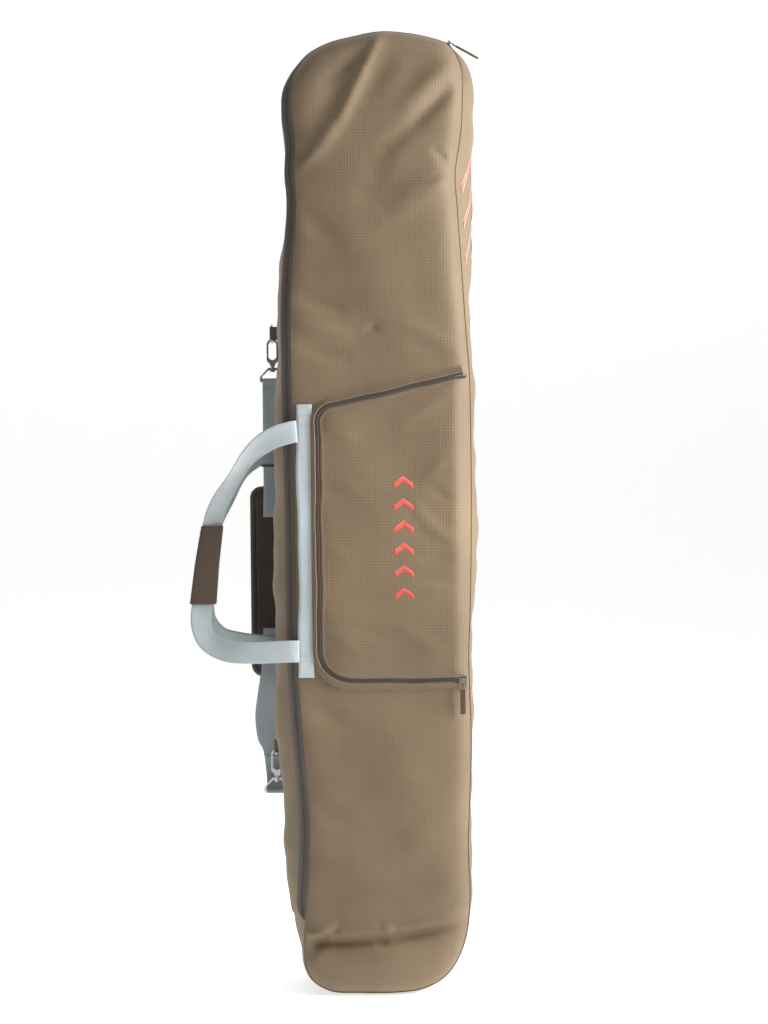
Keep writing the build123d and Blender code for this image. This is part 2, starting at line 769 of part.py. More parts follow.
with BuildPart() as side_ring:
    with BuildSketch(Plane.YZ.offset(side_ring_x - side_ring_wire / 2)):
        with Locations((side_ring_y, side_ring_z - side_ring_length / 2 + side_ring_wire / 2)):
            RectangleRounded(side_ring_width, side_ring_length, 5)
            RectangleRounded(
                side_ring_width - 2 * side_ring_wire,
                side_ring_length - 2 * side_ring_wire,
                5 - side_ring_wire,
                mode=Mode.SUBTRACT,
            )
    extrude(amount=side_ring_wire)
side_ring.part.label = "side_ring"
export_step(side_ring.part, "parts/side_ring.step")
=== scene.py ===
import bpy
import numpy as np
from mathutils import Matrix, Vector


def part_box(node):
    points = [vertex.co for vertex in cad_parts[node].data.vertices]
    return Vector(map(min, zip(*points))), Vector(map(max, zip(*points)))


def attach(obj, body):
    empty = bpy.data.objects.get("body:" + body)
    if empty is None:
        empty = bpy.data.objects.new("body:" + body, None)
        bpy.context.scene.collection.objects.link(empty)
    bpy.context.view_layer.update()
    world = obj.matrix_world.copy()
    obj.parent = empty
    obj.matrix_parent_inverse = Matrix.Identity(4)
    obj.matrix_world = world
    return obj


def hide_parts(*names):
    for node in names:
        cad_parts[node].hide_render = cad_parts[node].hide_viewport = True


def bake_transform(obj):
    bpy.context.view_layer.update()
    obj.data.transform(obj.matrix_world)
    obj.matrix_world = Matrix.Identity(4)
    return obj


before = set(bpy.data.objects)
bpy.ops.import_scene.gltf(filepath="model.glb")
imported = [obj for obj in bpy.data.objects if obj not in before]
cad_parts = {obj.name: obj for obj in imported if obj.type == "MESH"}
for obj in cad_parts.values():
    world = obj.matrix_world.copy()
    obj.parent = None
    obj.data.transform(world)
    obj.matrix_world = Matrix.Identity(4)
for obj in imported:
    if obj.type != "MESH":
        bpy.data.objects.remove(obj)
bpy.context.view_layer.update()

# Camera, lights and the white studio: a long lens square to the front of the standing bag, a big
# soft light on its right that rakes across the cloth, and weak fills on the left and above.
camera = bpy.data.objects.new("camera", bpy.data.cameras.new("camera"))
bpy.context.collection.objects.link(camera)
bag_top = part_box("gusset_shell")[1][2]
camera.location = (0.0104, -3.3, bag_top / 2)
camera.rotation_euler = (np.pi / 2, 0.011, 0)
camera.data.lens = 65.3
bpy.context.scene.camera = camera
bpy.context.scene.view_settings.view_transform = "Standard"

for name, place, turn, size, power, tint in (
    ("window_right", (1.60, -0.62, 1.36), (1.48, 0, 1.20), (0.8, 1.2), 64, (1.0, 0.98, 0.95)),
    ("fill_left", (-2.2, -2.2, 1.4), (1.45, 0, -0.80), (1.8, 1.8), 5, (0.92, 0.95, 1.0)),
    ("ceiling", (0.3, -1.0, 3.4), (0.30, 0, 0), (2.4, 1.6), 24, (1.0, 1.0, 1.0)),
):
    light = bpy.data.objects.new(name, bpy.data.lights.new(name, "AREA"))
    light.data.shape = "RECTANGLE"
    light.data.size, light.data.size_y = size
    light.data.energy, light.data.color = power, tint
    light.location, light.rotation_euler = place, turn
    bpy.context.collection.objects.link(light)

world = bpy.data.worlds.new("studio")
world.use_nodes = True
world.node_tree.nodes["Background"].inputs["Color"].default_value = (1.0, 1.0, 1.0, 1)
world.node_tree.nodes["Background"].inputs["Strength"].default_value = 0.13
bpy.context.scene.world = world


def new_material(name, color, roughness=0.7, metallic=0.0):
    """A named material; returns it with its node tree and shader, for its section to add detail."""
    material = bpy.data.materials.new(name)
    material.use_nodes = True
    tree = material.node_tree
    shader = tree.nodes["Principled BSDF"]
    shader.inputs["Base Color"].default_value = (*color, 1)
    shader.inputs["Roughness"].default_value = roughness
    shader.inputs["Metallic"].default_value = metallic
    return material, tree, shader


def add_node(tree, kind, values=(), **settings):
    """A shader node of one kind, with its own settings, and values for its inputs by name or number."""
    node = tree.nodes.new("ShaderNode" + kind)
    for setting, value in settings.items():
        setattr(node, setting, value)
    for socket, value in dict(values).items():
        node.inputs[socket].default_value = value
    return node


def unit(vectors):
    """Each row divided by its length."""
    return vectors / np.linalg.norm(vectors, axis=1, keepdims=True)


def run_along(points):
    """Length run from the first point to each point of a path."""
    return np.concatenate([[0], np.cumsum(np.linalg.norm(np.diff(points, axis=0), axis=1))])


def at_runs(want, run, points):
    """The path's columns at each wanted run along it."""
    return np.stack([np.interp(want, run, column) for column in points.T], 1)


def add_mesh(name, points, faces, material, uv=None):
    """A smooth-shaded mesh object from arrays of points and faces, with a UV point per mesh point."""
    mesh = bpy.data.meshes.new(name)
    faces = faces.tolist() if isinstance(faces, np.ndarray) else faces
    mesh.from_pydata(np.asarray(points, float).reshape(-1, 3).tolist(), [], faces)
    if uv is not None:
        layer = mesh.uv_layers.new(name="cloth")
        corners = np.empty(len(mesh.loops), int)
        mesh.loops.foreach_get("vertex_index", corners)
        layer.data.foreach_set("uv", np.asarray(uv, float).reshape(-1, 2)[corners].ravel())
    mesh.polygons.foreach_set("use_smooth", np.full(len(mesh.polygons), True))
    mesh.materials.append(material)
    piece = bpy.data.objects.new(name, mesh)
    bpy.context.collection.objects.link(piece)
    return piece


def grid_faces(rows, columns, closed=False, flip=False):
    """Quads of a rows by columns grid of points; closed joins the last row to the first."""
    row, column = np.meshgrid(np.arange(rows if closed else rows - 1), np.arange(columns - 1), indexing="ij")
    here, after = row * columns + column, (row + 1) % rows * columns + column
    quads = np.stack([here, after, after + 1, here + 1], -1).reshape(-1, 4)
    return quads[:, ::-1] if flip else quads


def running_uv(points):
    """UV in metres: running length along each row, and mean running length down the columns."""
    along = np.linalg.norm(np.diff(points, axis=1), axis=2)
    down = np.linalg.norm(np.diff(points, axis=0), axis=2).mean(1)
    u = np.concatenate([np.zeros((len(points), 1)), np.cumsum(along, 1)], 1)
    v = np.concatenate([[0], np.cumsum(down)])[:, None]
    return np.stack([u, np.broadcast_to(v, u.shape)], -1)


def add_sheet(name, points, material, wall=0.0, closed=False, flip=False, back=None, uv=None, offset=-1):
    """A grid of points as cloth; wall is its thickness, grown inwards, and back its inner material."""
    points = np.asarray(points, float)
    rows, columns = points.shape[:2]
    uv = running_uv(points) if uv is None else uv
    piece = add_mesh(name, points, grid_faces(rows, columns, closed, flip), material, uv)
    if wall:
        solid = piece.modifiers.new("wall", "SOLIDIFY")
        solid.thickness, solid.offset = wall, offset
        if back:
            piece.data.materials.append(back)
            solid.material_offset = 1
    return piece


# Painted light: the studio sweep glows white, dim on the floor in front of the bag and brighter towards the
# back wall.
studio_white, studio_tree, studio_shader = new_material("studio_white", (0.9, 0.9, 0.9), 0.9)
studio_shader.inputs["Emission Color"].default_value = (1, 1, 1, 1)
studio_place = add_node(studio_tree, "TexCoord")
studio_split = add_node(studio_tree, "SeparateXYZ")
fade = {"From Min": -2.4, "From Max": -0.1, "To Min": 0.12, "To Max": 0.60}
studio_glow_fade = add_node(studio_tree, "MapRange", fade)
studio_tree.links.new(studio_place.outputs["Object"], studio_split.inputs["Vector"])
studio_tree.links.new(studio_split.outputs["Y"], studio_glow_fade.inputs["Value"])
studio_tree.links.new(studio_glow_fade.outputs["Result"], studio_shader.inputs["Emission Strength"])
floor_front, floor_back, sweep_radius, wall_top, floor_half_width = -9, 4.5, 2.6, 20.0, 30.0
sweep = np.linspace(0, np.pi / 2, 40)
floor_y = np.concatenate([
    np.linspace(floor_front, floor_back, 40), floor_back + sweep_radius * np.sin(sweep),
    [floor_back + sweep_radius]])
floor_z = np.concatenate([np.zeros(40), sweep_radius - sweep_radius * np.cos(sweep), [wall_top]])
floor_x = np.array([-floor_half_width, floor_half_width])[:, None]
sweep_points = np.stack(np.broadcast_arrays(floor_x, floor_y[None], floor_z[None]), -1)
add_sheet("studio_floor", sweep_points, studio_white)

# Bag outline. A sewn bag has no exact edge, so it is drawn as stations round the bag in
# millimetres: the front panel's edge (x, z), then the widest line of the gusset (x, z).
stations = (
    (-133, 136, -160, 136), (-128, 200, -169, 200), (-124, 290, -174, 290), (-128, 365, -177, 365),
    (-136, 470, -187, 470), (-143, 600, -186, 600), (-144, 800, -186, 800), (-146, 950, -184, 950),
    (-148, 1100, -177, 1100), (-147, 1224, -174, 1224), (-136, 1368, -155, 1368),
    (-139, 1430, -153, 1430), (-137, 1483, -157, 1483), (-143, 1535, -160, 1540),
    (-139, 1592, -152, 1600), (-117, 1635, -123, 1646), (-80, 1658, -82, 1669), (-34, 1670, -36, 1678),
    (14, 1678, 14, 1683), (64, 1674, 65, 1681), (104, 1665, 106, 1671), (131, 1654, 137, 1664),
    (148, 1628, 163, 1634), (155, 1590, 176, 1592), (152, 1507, 176, 1507), (141, 1430, 173, 1430),
    (144, 1368, 171, 1368), (151, 1250, 169, 1250), (157, 1150, 168, 1150), (162, 1078, 172, 1078),
    (163, 980, 173, 980), (163, 870, 176, 870), (161, 750, 174, 750), (158, 650, 168, 650),
    (155, 590, 163, 590), (156, 540, 164, 540), (158, 440, 164, 440), (154, 330, 161, 330),
    (151, 250, 158, 250), (153, 170, 161, 170), (144, 95, 150, 92), (117, 40, 122, 36),
    (76, 12, 78, 8), (25, 4, 25, 1), (-40, 4, -40, 1), (-92, 8, -96, 3), (-128, 34, -136, 28),
    (-136, 82, -149, 82),
)


def smooth_curve(knots, count, closed=False):
    """Catmull-Rom curve through the knots, count rows evenly spaced by the first two columns."""
    knots = np.asarray(knots, float)
    spans = len(knots) if closed else len(knots) - 1
    t = np.linspace(0, spans, 48 * spans + 1)
    i = np.minimum(t.astype(int), spans - 1)
    f = (t - i)[:, None]
    pick = (lambda k: k % len(knots)) if closed else (lambda k: np.clip(k, 0, len(knots) - 1))
    before, start, end, after = (knots[pick(i + k)] for k in (-1, 0, 1, 2))
    dense = start + 0.5 * f * (
        end - before
        + f * (2 * before - 5 * start + 4 * end - after + f * (3 * (start - end) + after - before))
    )
    run = run_along(dense[:, :3])
    want = np.linspace(0, run[-1], count, endpoint=not closed)
    return at_runs(want, run, dense)


def ramp(value, low, high):
    """0 below low, 1 above high, with a smooth rise between."""
    share = np.clip((value - low) / (high - low), 0, 1)
    return share * share * (3 - 2 * share)


outline_count = 1080
outline = smooth_curve(stations, outline_count, closed=True) * 0.001
edge_x, edge_z, wide_x, wide_z = outline.T
tangent = np.stack([np.roll(edge_x, -3) - np.roll(edge_x, 3), np.roll(edge_z, -3) - np.roll(edge_z, 3)], 1)
tangent = unit(tangent)
out = np.stack([-tangent[:, 1], np.zeros(outline_count), tangent[:, 0]], 1)
on_left = ramp(-edge_x, -0.02, 0.11) * (1 - ramp(edge_z, 1.56, 1.66)) * ramp(edge_z, 0.02, 0.12)
last_zip_row = int(np.argmin(np.hypot(edge_x - 0.155, edge_z - 1.583)))
row_number = np.arange(outline_count)
in_zip = ramp(row_number, -8, 8) * (1 - ramp(row_number, last_zip_row - 8, last_zip_row + 2))
edge_y = -0.057 - 0.020 * on_left - 0.006 * ramp(-edge_z, -0.14, -0.04) * (1 - on_left)
front_edge = np.stack([edge_x, edge_y, edge_z], 1)
band_width = np.stack([out[:, 0] * (0.016 * on_left + 0.002), 0.014 + 0.005 * on_left, out[:, 2] * 0.002], 1)
band_rear = front_edge + band_width * in_zip[:, None]

# Each fold: x, z of both ends, half width and height in millimetres; a negative height is a valley.
folds = (
    (12, 1668, -22, 1600, 11, 6), (-22, 1600, -56, 1530, 13, 8), (-56, 1530, -104, 1462, 15, 7),
    (-8, 1640, -78, 1588, 16, -7), (-40, 1590, -100, 1520, 22, -6), (-104, 1462, -132, 1440, 10, 4),
    (30, 1640, -10, 1560, 20, -4), (139, 1581, 74, 1516, 15, -7), (74, 1516, 27, 1472, 18, -6),
    (27, 1472, -10, 1400, 22, -4), (128, 1612, 60, 1548, 18, 6), (60, 1500, 0, 1420, 24, 4),
    (140, 1432, 108, 1462, 8, -5), (140, 1418, 104, 1408, 9, 4), (104, 1408, 20, 1350, 24, 4),
    (-128, 1360, -70, 1310, 18, -3), (5, 1163, -14, 1158, 8, -3), (-140, 1215, -70, 1195, 14, -4),
    (-140, 1170, -60, 1150, 14, 3), (-140, 1130, -60, 1108, 16, -4), (148, 1120, 60, 1160, 16, 3),
    (-60, 1250, 60, 1290, 30, 3), (-125, 500, -60, 470, 20, -3), (120, 490, 30, 450, 26, 3),
    (-120, 330, -60, 300, 18, -4), (120, 290, 30, 260, 26, 4), (-110, 230, 0, 200, 24, 3),
    (-133, 110, 8, 118, 10, 9), (8, 118, 151, 146, 10, 9), (-138, 92, 0, 98, 10, -11),
    (0, 98, 150, 122, 10, -11), (-133, 108, -75, 126, 8, 6), (-75, 126, -138, 64, 9, -7),
    (-60, 60, 90, 66, 26, 6), (60, 150, 130, 200, 20, 3),
)


def fold_height(x_mm, z_mm, lines):
    """How far folds lift the cloth, in millimetres: each is a rounded ridge or valley along its line,
    highest in the middle and half as high at its ends."""
    height = 0 * x_mm
    for x0, z0, x1, z1, width, rise in lines:
        dx, dz = x1 - x0, z1 - z0
        along = np.clip(((x_mm - x0) * dx + (z_mm - z0) * dz) / (dx * dx + dz * dz), 0, 1)
        away = np.hypot(x_mm - x0 - along * dx, z_mm - z0 - along * dz)
        height = height + rise * np.exp(-((away / width) ** 2)) * (0.5 + 0.5 * np.sin(np.pi * along))
    return height


def face_depth(x, z, inside, rim_y):
    """Front panel depth: from rim_y it rolls over to the face, which has a slow bulge, folds and
    small ripples; inside is the distance in from the edge."""
    roll = 1 - np.exp(-inside / 0.011)
    x_mm, z_mm = x * 1000, z * 1000
    high = ramp(z, 1.08, 1.30) + ramp(-z, -0.52, -0.36)
    depth = -80 - 9 * high * (1 - np.clip((x_mm - 40) / 200, -1, 1) ** 2)
    depth = depth - fold_height(x_mm, z_mm, folds)
    calm = 1 - 0.7 * ramp(z, 0.48, 0.56) * (1 - ramp(z, 1.04, 1.12))
    depth = depth - calm * (0.9 * np.sin(x_mm / 23 + z_mm / 61) + 0.7 * np.sin(z_mm / 37 - x_mm / 71 + 1.3))
    return rim_y + (depth * 0.001 - rim_y) * roll


def edge_gap(x, z):
    """Distance from each point to the nearest point of the front panel's edge, and that edge's depth."""
    points = np.stack([np.ravel(x), np.ravel(z)], 1)
    rim = front_edge[::4]
    gaps = np.linalg.norm(points[:, None] - rim[None, :, ::2], axis=2)
    return gaps.min(1).reshape(np.shape(x)), rim[gaps.argmin(1), 1].reshape(np.shape(x))


def cloth_material(name, color, rib_gap=0.0053, rib_depth=0.0004, yarn_gap=0.0009, sheen=0.14, roughness=0.6):
    """Woven cloth on a UV map in metres: fine yarns both ways, a heavier rib yarn every rib_gap, and
    slow patches of wear; the yarns and ribs are painted a little lighter than the ground, a painted
    highlight."""
    material, tree, shader = new_material(name, color, roughness)
    link = tree.links.new
    shader.inputs["Sheen Weight"].default_value = sheen
    shader.inputs["Sheen Roughness"].default_value = 0.5
    shader.inputs["Sheen Tint"].default_value = (0.95, 0.86, 0.72, 1)
    where = add_node(tree, "UVMap")
    total = None
    for direction in ("X", "Y"):
        for gap, weight, power in ((yarn_gap, 0.30, 1.0), (rib_gap, 1.0, 10.0)):
            waves = {"Scale": 0.314 / gap, "Distortion": 0.5, "Detail": 1.0, "Detail Scale": 0.3}
            wave = add_node(tree, "TexWave", waves, bands_direction=direction)
            link(where.outputs["UV"], wave.inputs["Vector"])
            narrow = add_node(tree, "Math", {1: power}, operation="POWER")
            link(wave.outputs["Fac"], narrow.inputs[0])
            add = add_node(tree, "Math", {1: weight, 2: 0.0}, operation="MULTIPLY_ADD")
            link(narrow.outputs[0], add.inputs[0])
            if total:
                link(total.outputs[0], add.inputs[2])
            total = add
    bump = add_node(tree, "Bump", {"Strength": 0.5, "Distance": rib_depth})
    link(total.outputs[0], bump.inputs["Height"])
    link(bump.outputs["Normal"], shader.inputs["Normal"])
    place = add_node(tree, "TexCoord")
    wear = add_node(tree, "TexNoise", {"Scale": 7.0, "Detail": 5.0})
    link(place.outputs["Object"], wear.inputs["Vector"])
    # Painted highlight: the weave's height lightens the colour, added on top of the slow wear patches.
    tone = add_node(tree, "Math", {1: 0.09}, operation="MULTIPLY_ADD")
    link(total.outputs[0], tone.inputs[0])
    link(wear.outputs["Fac"], tone.inputs[2])
    shade = add_node(tree, "ValToRGB")
    low, high = shade.color_ramp.elements
    low.position, high.position = 0.32, 0.80
    low.color = (*(0.82 * np.array(color)), 1)
    high.color = (*np.minimum(1.20 * np.array(color), 1), 1)
    link(tone.outputs[0], shade.inputs["Fac"])
    link(shade.outputs["Color"], shader.inputs["Base Color"])
    return material


canvas = cloth_material("canvas_brown", (0.188, 0.133, 0.076), sheen=0.16)
lining = cloth_material("lining_grey", (0.20, 0.20, 0.205), rib_gap=0.003, yarn_gap=0.0007, roughness=0.5)

# Front panel and toe: canvas over foam with a grey lining, held by the zip on the left and over the
# top, and sewn to the gusset on the right and round the toe. Its grid runs from the edge inwards.
padding, middle_x = 0.0055, 0.006
share = np.linspace(0, 1, 56)[None, :] ** 1.3
top_row = int(np.argmin(np.where(edge_z > 1, np.abs(edge_x - middle_x), 9)))
partner = (2 * top_row - row_number) % outline_count
middle_z = np.clip((edge_z + edge_z[partner]) / 2, 0.17, 1.50)
grid_x = edge_x[:, None] + share * (middle_x - edge_x)[:, None]
grid_z = edge_z[:, None] + share * (middle_z - edge_z)[:, None]
inside = share * np.hypot(middle_x - edge_x, middle_z - edge_z)[:, None]
front_points = np.stack([grid_x, face_depth(grid_x, grid_z, inside, edge_y[:, None]), grid_z], -1)
front_panel = add_sheet(
    "front_panel", front_points, canvas, closed=True, flip=True, uv=front_points[..., ::2])


def close_middle(piece, wall, back):
    """Joins the rows that meet at a panel's middle, then gives the panel its foam thickness."""
    join = piece.modifiers.new("join", "WELD")
    join.merge_threshold = 0.0003
    solid = piece.modifiers.new("wall", "SOLIDIFY")
    solid.thickness, solid.offset = wall, -1
    piece.data.materials.append(back)
    solid.material_offset = 1


close_middle(front_panel, padding, lining)
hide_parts("front_shell", "front_foam", "front_lining", "toe_shell", "toe_foam", "toe_lining")
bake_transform(front_panel)

# Gusset: one long padded strip round the bag. It stands furthest out at its middle, slackest low on
# the left, and is drawn in at both seams.
rear_y = 0.069
seam_share = 0.42
rear_line = np.stack(
    [seam_share * edge_x + (1 - seam_share) * wide_x, np.full(outline_count, rear_y),
     np.maximum(seam_share * edge_z + (1 - seam_share) * wide_z, 0.004)], 1)
wide_line = np.stack([wide_x, np.full(outline_count, 0.004), wide_z], 1)
across = np.linspace(0, 1, 36)[None, :, None]
pull = 2 * wide_line - 0.5 * (band_rear + rear_line)
gusset_points = (
    (1 - across) ** 2 * band_rear[:, None] + 2 * across * (1 - across) * pull[:, None]
    + across**2 * rear_line[:, None]
)
run = np.arange(outline_count)[:, None] * 0.0036
slack = 0.0016 * np.sin(run * 24) + 0.0011 * np.sin(run * 57 + 1) + 0.0008 * np.sin(run * 101 + 2)
slack = slack * np.sin(np.pi * across[..., 0]) * ramp(edge_z, 0.02, 0.10)[:, None]
gusset_points = gusset_points + out[:, None] * slack[..., None]
gusset_points[..., 2] = np.maximum(gusset_points[..., 2], 0.0003)
gusset = add_sheet("gusset", gusset_points, canvas, wall=padding, closed=True, back=lining)
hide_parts("gusset_shell", "gusset_foam", "gusset_lining")
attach(gusset, "root")

# Back panel: canvas over foam, nearly flat because it lies against the board, with a rolled edge.
back_share = np.linspace(0, 1, 34)[None, :] ** 1.3
back_z = np.clip((rear_line[:, 2] + rear_line[partner, 2]) / 2, 0.17, 1.50)
back_x = rear_line[:, :1] * (1 - back_share)
back_height = rear_line[:, 2:] + back_share * (back_z - rear_line[:, 2])[:, None]
back_inside = back_share * np.hypot(rear_line[:, 0], back_z - rear_line[:, 2])[:, None]
back_roll = 1 - np.exp(-back_inside / 0.010)
back_depth = rear_y + 0.0110 * back_roll
back_wave = np.sin(back_height * 33) * np.sin(back_x * 27 + back_height * 9)
back_depth = back_depth + 0.0008 * back_roll * back_wave
back_points = np.stack([back_x, back_depth, back_height], -1)
back_panel = add_sheet("back_panel", back_points, canvas, closed=True, uv=back_points[..., ::2])
close_middle(back_panel, padding, lining)
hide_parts("back_shell", "back_foam", "back_lining")
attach(back_panel, "root")

# Seams: a thin rolled binding of canvas where the front panel meets the gusset, a thicker one at the
# rear, and the tape that covers the rear seam on the inside.


def add_tube(name, path, radius, material, closed=False, sides=8):
    """A round bead of one radius along a path, with its rings square to the path and capped ends."""
    path = np.asarray(path, float)
    ahead = np.roll(path, -1, 0) - np.roll(path, 1, 0) if closed else np.gradient(path, axis=0)
    ahead = unit(ahead)
    guide = np.where(np.abs(ahead[:, 1:2]) > 0.9, [[1.0, 0, 0]], [[0, 1.0, 0]])
    side = unit(np.cross(ahead, guide))
    turn = np.linspace(0, 2 * np.pi, sides, endpoint=False)[None, :, None]
    up = np.cross(side, ahead)
    ring = path[:, None] + radius * (side[:, None] * np.cos(turn) + up[:, None] * np.sin(turn))
    number = np.arange(len(path) * sides).reshape(-1, sides)
    after = np.roll(number, -1, 0)
    here = number if closed else number[:-1]
    after = after if closed else after[:-1]
    faces = np.stack([here, np.roll(here, -1, 1), np.roll(after, -1, 1), after], -1).reshape(-1, 4).tolist()
    caps = [] if closed else [number[0, ::-1].tolist(), number[-1].tolist()]
    length = np.repeat(np.arange(len(path)) * 0.003, sides)
    uv = np.stack([length, np.tile(np.arange(sides) * 0.001, len(path))], 1)
    return add_mesh(name, ring, faces + caps, material, uv)


tape_wall = 0.0008
seam_rows = np.r_[last_zip_row:outline_count, 0]
front_seam = add_tube("front_seam", front_edge[seam_rows] + out[seam_rows] * 0.0006, 0.0014, canvas)
rear_seam = add_tube("rear_seam", rear_line + out * 0.0006, 0.0018, canvas, closed=True)
tape_across = np.linspace(-0.012, 0.001, 3)[None, :, None] * [0, 1.0, 0]
tape_points = rear_line[:, None] - out[:, None] * 0.0075 + tape_across
seam_tape = add_sheet("seam_tape", tape_points, lining, wall=tape_wall, closed=True)
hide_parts("rear_seam_tape")
for piece, slot in ((front_seam, "canvas"), (rear_seam, "canvas"), (seam_tape, "lining")):
    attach(piece, "root")

# Hinge strip: a band of canvas inside the right seam, from the gusset to the lid, which bridges the
# seam when the lid is open.
hinge_rows = np.r_[last_zip_row + 2:outline_count - 1]
hinge_rows = hinge_rows[(edge_z[hinge_rows] > 0.30) & (edge_x[hinge_rows] > 0)]
hinge_in = np.linspace(0, 0.046, 16)[None, :]
hinge_x = edge_x[hinge_rows, None] - hinge_in
hinge_z = edge_z[hinge_rows, None] + 0 * hinge_in
hinge_y = face_depth(hinge_x, hinge_z, hinge_in, edge_y[hinge_rows, None]) + 0.0070 * ramp(hinge_in, 0, 0.006)
hinge_strip = add_sheet(
    "hinge_strip", np.stack([hinge_x, hinge_y, hinge_z], -1), canvas, wall=tape_wall, flip=True, back=lining)
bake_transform(hinge_strip)

# Main zip: coated woven tape turned so that the coil is on the inside. Each half is a strip with a
# raised lip at the slit and a coil bead behind the lip; a stop closes the lower end.
zip_tape_cloth = cloth_material("zip_tape_cloth", (0.075, 0.058, 0.048), 0.003, 0.0002, 0.0007, 0.15, 0.40)


def ridged(name, color, roughness, scale, depth, direction="X"):
    """Close parallel ridges across a piece's UV map, such as a coil's turns or rows of satin thread."""
    material, tree, shader = new_material(name, color, roughness)
    place = add_node(tree, "UVMap")
    wave = add_node(tree, "TexWave", {"Scale": scale}, bands_direction=direction)
    bump = add_node(tree, "Bump", {"Distance": depth})
    tree.links.new(place.outputs["UV"], wave.inputs["Vector"])
    tree.links.new(wave.outputs["Fac"], bump.inputs["Height"])
    tree.links.new(bump.outputs["Normal"], shader.inputs["Normal"])
    return material, shader


coil_plastic, _ = ridged("coil_plastic", (0.055, 0.043, 0.036), 0.35, 210, 0.0006)
zip_rows = np.arange(0, last_zip_row + 1)
band = (band_rear - front_edge)[zip_rows]
zip_up = unit(np.cross(np.gradient(front_edge[zip_rows], axis=0), band + [0, 1e-6, 0]))
zip_up *= np.sign((zip_up * (out[zip_rows] - [0, 0.5, 0])).sum(1, keepdims=True))
for name, low, high, lip in (("front", 0.0, 0.475, 0.44), ("rear", 0.525, 1.0, 0.56)):
    place = np.linspace(low, high, 15)
    groove = np.exp(-(((place - 2 * lip + 0.5) / 0.1) ** 2))
    rise = 0.0022 * np.exp(-(((place - lip) / 0.07) ** 2)) - 0.0008 * groove
    rise = rise[None, :, None] * in_zip[zip_rows, None, None]
    strip = front_edge[zip_rows, None] + place[None, :, None] * band[:, None] + zip_up[:, None] * rise
    tape = add_sheet(f"zip_tape_{name}_cloth", strip, zip_tape_cloth, wall=tape_wall, offset=0)
    bead = front_edge[zip_rows] + (0.5 + (lip - 0.5) * 0.9) * band - zip_up * 0.0012
    coil = add_tube(f"zip_coil_{name}_bead", bead[6:-6], 0.0009, coil_plastic, sides=6)
    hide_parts(f"zip_tape_{name}")
    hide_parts(f"zip_coil_{name}")
    for piece, slot in ((tape, "zip_tape"), (coil, "zip_coil")):
        if name == "rear":
            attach(piece, "root")
        else:
            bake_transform(piece)
low_side = 1 if (band_rear[10, 0] < front_edge[10, 0]) else -1
stop_middle = (front_edge[3] + band_rear[3]) / 2
stop_turn = np.linspace(0, 2 * np.pi, 13)[:, None]
stop_length = np.linspace(-0.5, 0.5, 9)[None, :]
stop_round = np.sqrt(np.clip(1 - (2 * stop_length) ** 4, 0.02, 1))
stop_points = (
    stop_middle + np.stack(np.broadcast_arrays(
        0.0016 * stop_round * np.cos(stop_turn) * -low_side, 0.0035 * stop_round * np.sin(stop_turn),
        0.0070 * stop_length), -1)
)
zip_stop = add_sheet("zip_stop", stop_points, coil_plastic)
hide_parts("zip_bottom_stop")
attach(zip_stop, "root")

# Pocket: a low welt of canvas round a zip that runs along the slanting top, down the left and along
# the bottom, and a flap of the same canvas that stays sewn to the panel on the right.
pocket_low = np.array(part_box("pocket_tape_inner")[0])
flap_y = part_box("pocket_flap")[0][1]
tape_grow = 0.0064
pocket_left, pocket_right = pocket_low[0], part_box("pocket_tape_outer")[1][0]
pocket_base = pocket_low[2]
pocket_top_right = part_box("pocket_tape_outer")[1][2] - tape_grow
pocket_top_left = pocket_top_right - 0.0555


def pocket_line(count):
    """The zip's line from the top right corner to the left, down and back along the bottom: straight
    runs joined by two quarter rounds, with the direction that points out of the pocket."""
    slope = (pocket_top_right - pocket_top_left) / (pocket_right - pocket_left)
    tilt = np.arctan(slope)
    high_radius, low_radius = 0.030, 0.055
    high_turn = np.linspace(np.pi / 2 + tilt, np.pi, 14)
    high_center = np.array([pocket_left + high_radius, pocket_top_left + slope * high_radius
                            - high_radius / np.cos(tilt)])
    high_arc = high_center + high_radius * np.column_stack([np.cos(high_turn), np.sin(high_turn)])
    low_turn = np.linspace(np.pi, 1.5 * np.pi, 18)
    low_center = np.array([pocket_left + low_radius, pocket_base + low_radius])
    low_arc = low_center + low_radius * np.column_stack([np.cos(low_turn), np.sin(low_turn)])
    start, finish = [pocket_right, pocket_top_right], [pocket_right, pocket_base]
    corners = np.vstack([start, high_arc, low_arc, finish])
    length = run_along(corners)
    want = np.linspace(0, length[-1], count)
    line = at_runs(want, length, corners)
    ahead = unit(np.gradient(line, axis=0))
    return line, np.stack([ahead[:, 1], -ahead[:, 0]], 1), want


line, line_out, line_run = pocket_line(420)
wander = 0.0012 * np.sin(line_run * 31) + 0.0008 * np.sin(line_run * 73 + 1)


def pocket_profile(growth, depth):
    """Points along the pocket's line, moved out by each growth and set at each depth."""
    growth, depth = np.asarray(growth, float) * 0.001, np.asarray(depth, float) * 0.001
    place = line[:, None] + line_out[:, None] * (growth[None, :, None] + 0.6 * wander[:, None, None])
    depth = flap_y + np.broadcast_to(depth, place.shape[:2]) + 0.5 * wander[:, None]
    return np.stack([place[..., 0], depth, place[..., 1]], -1)


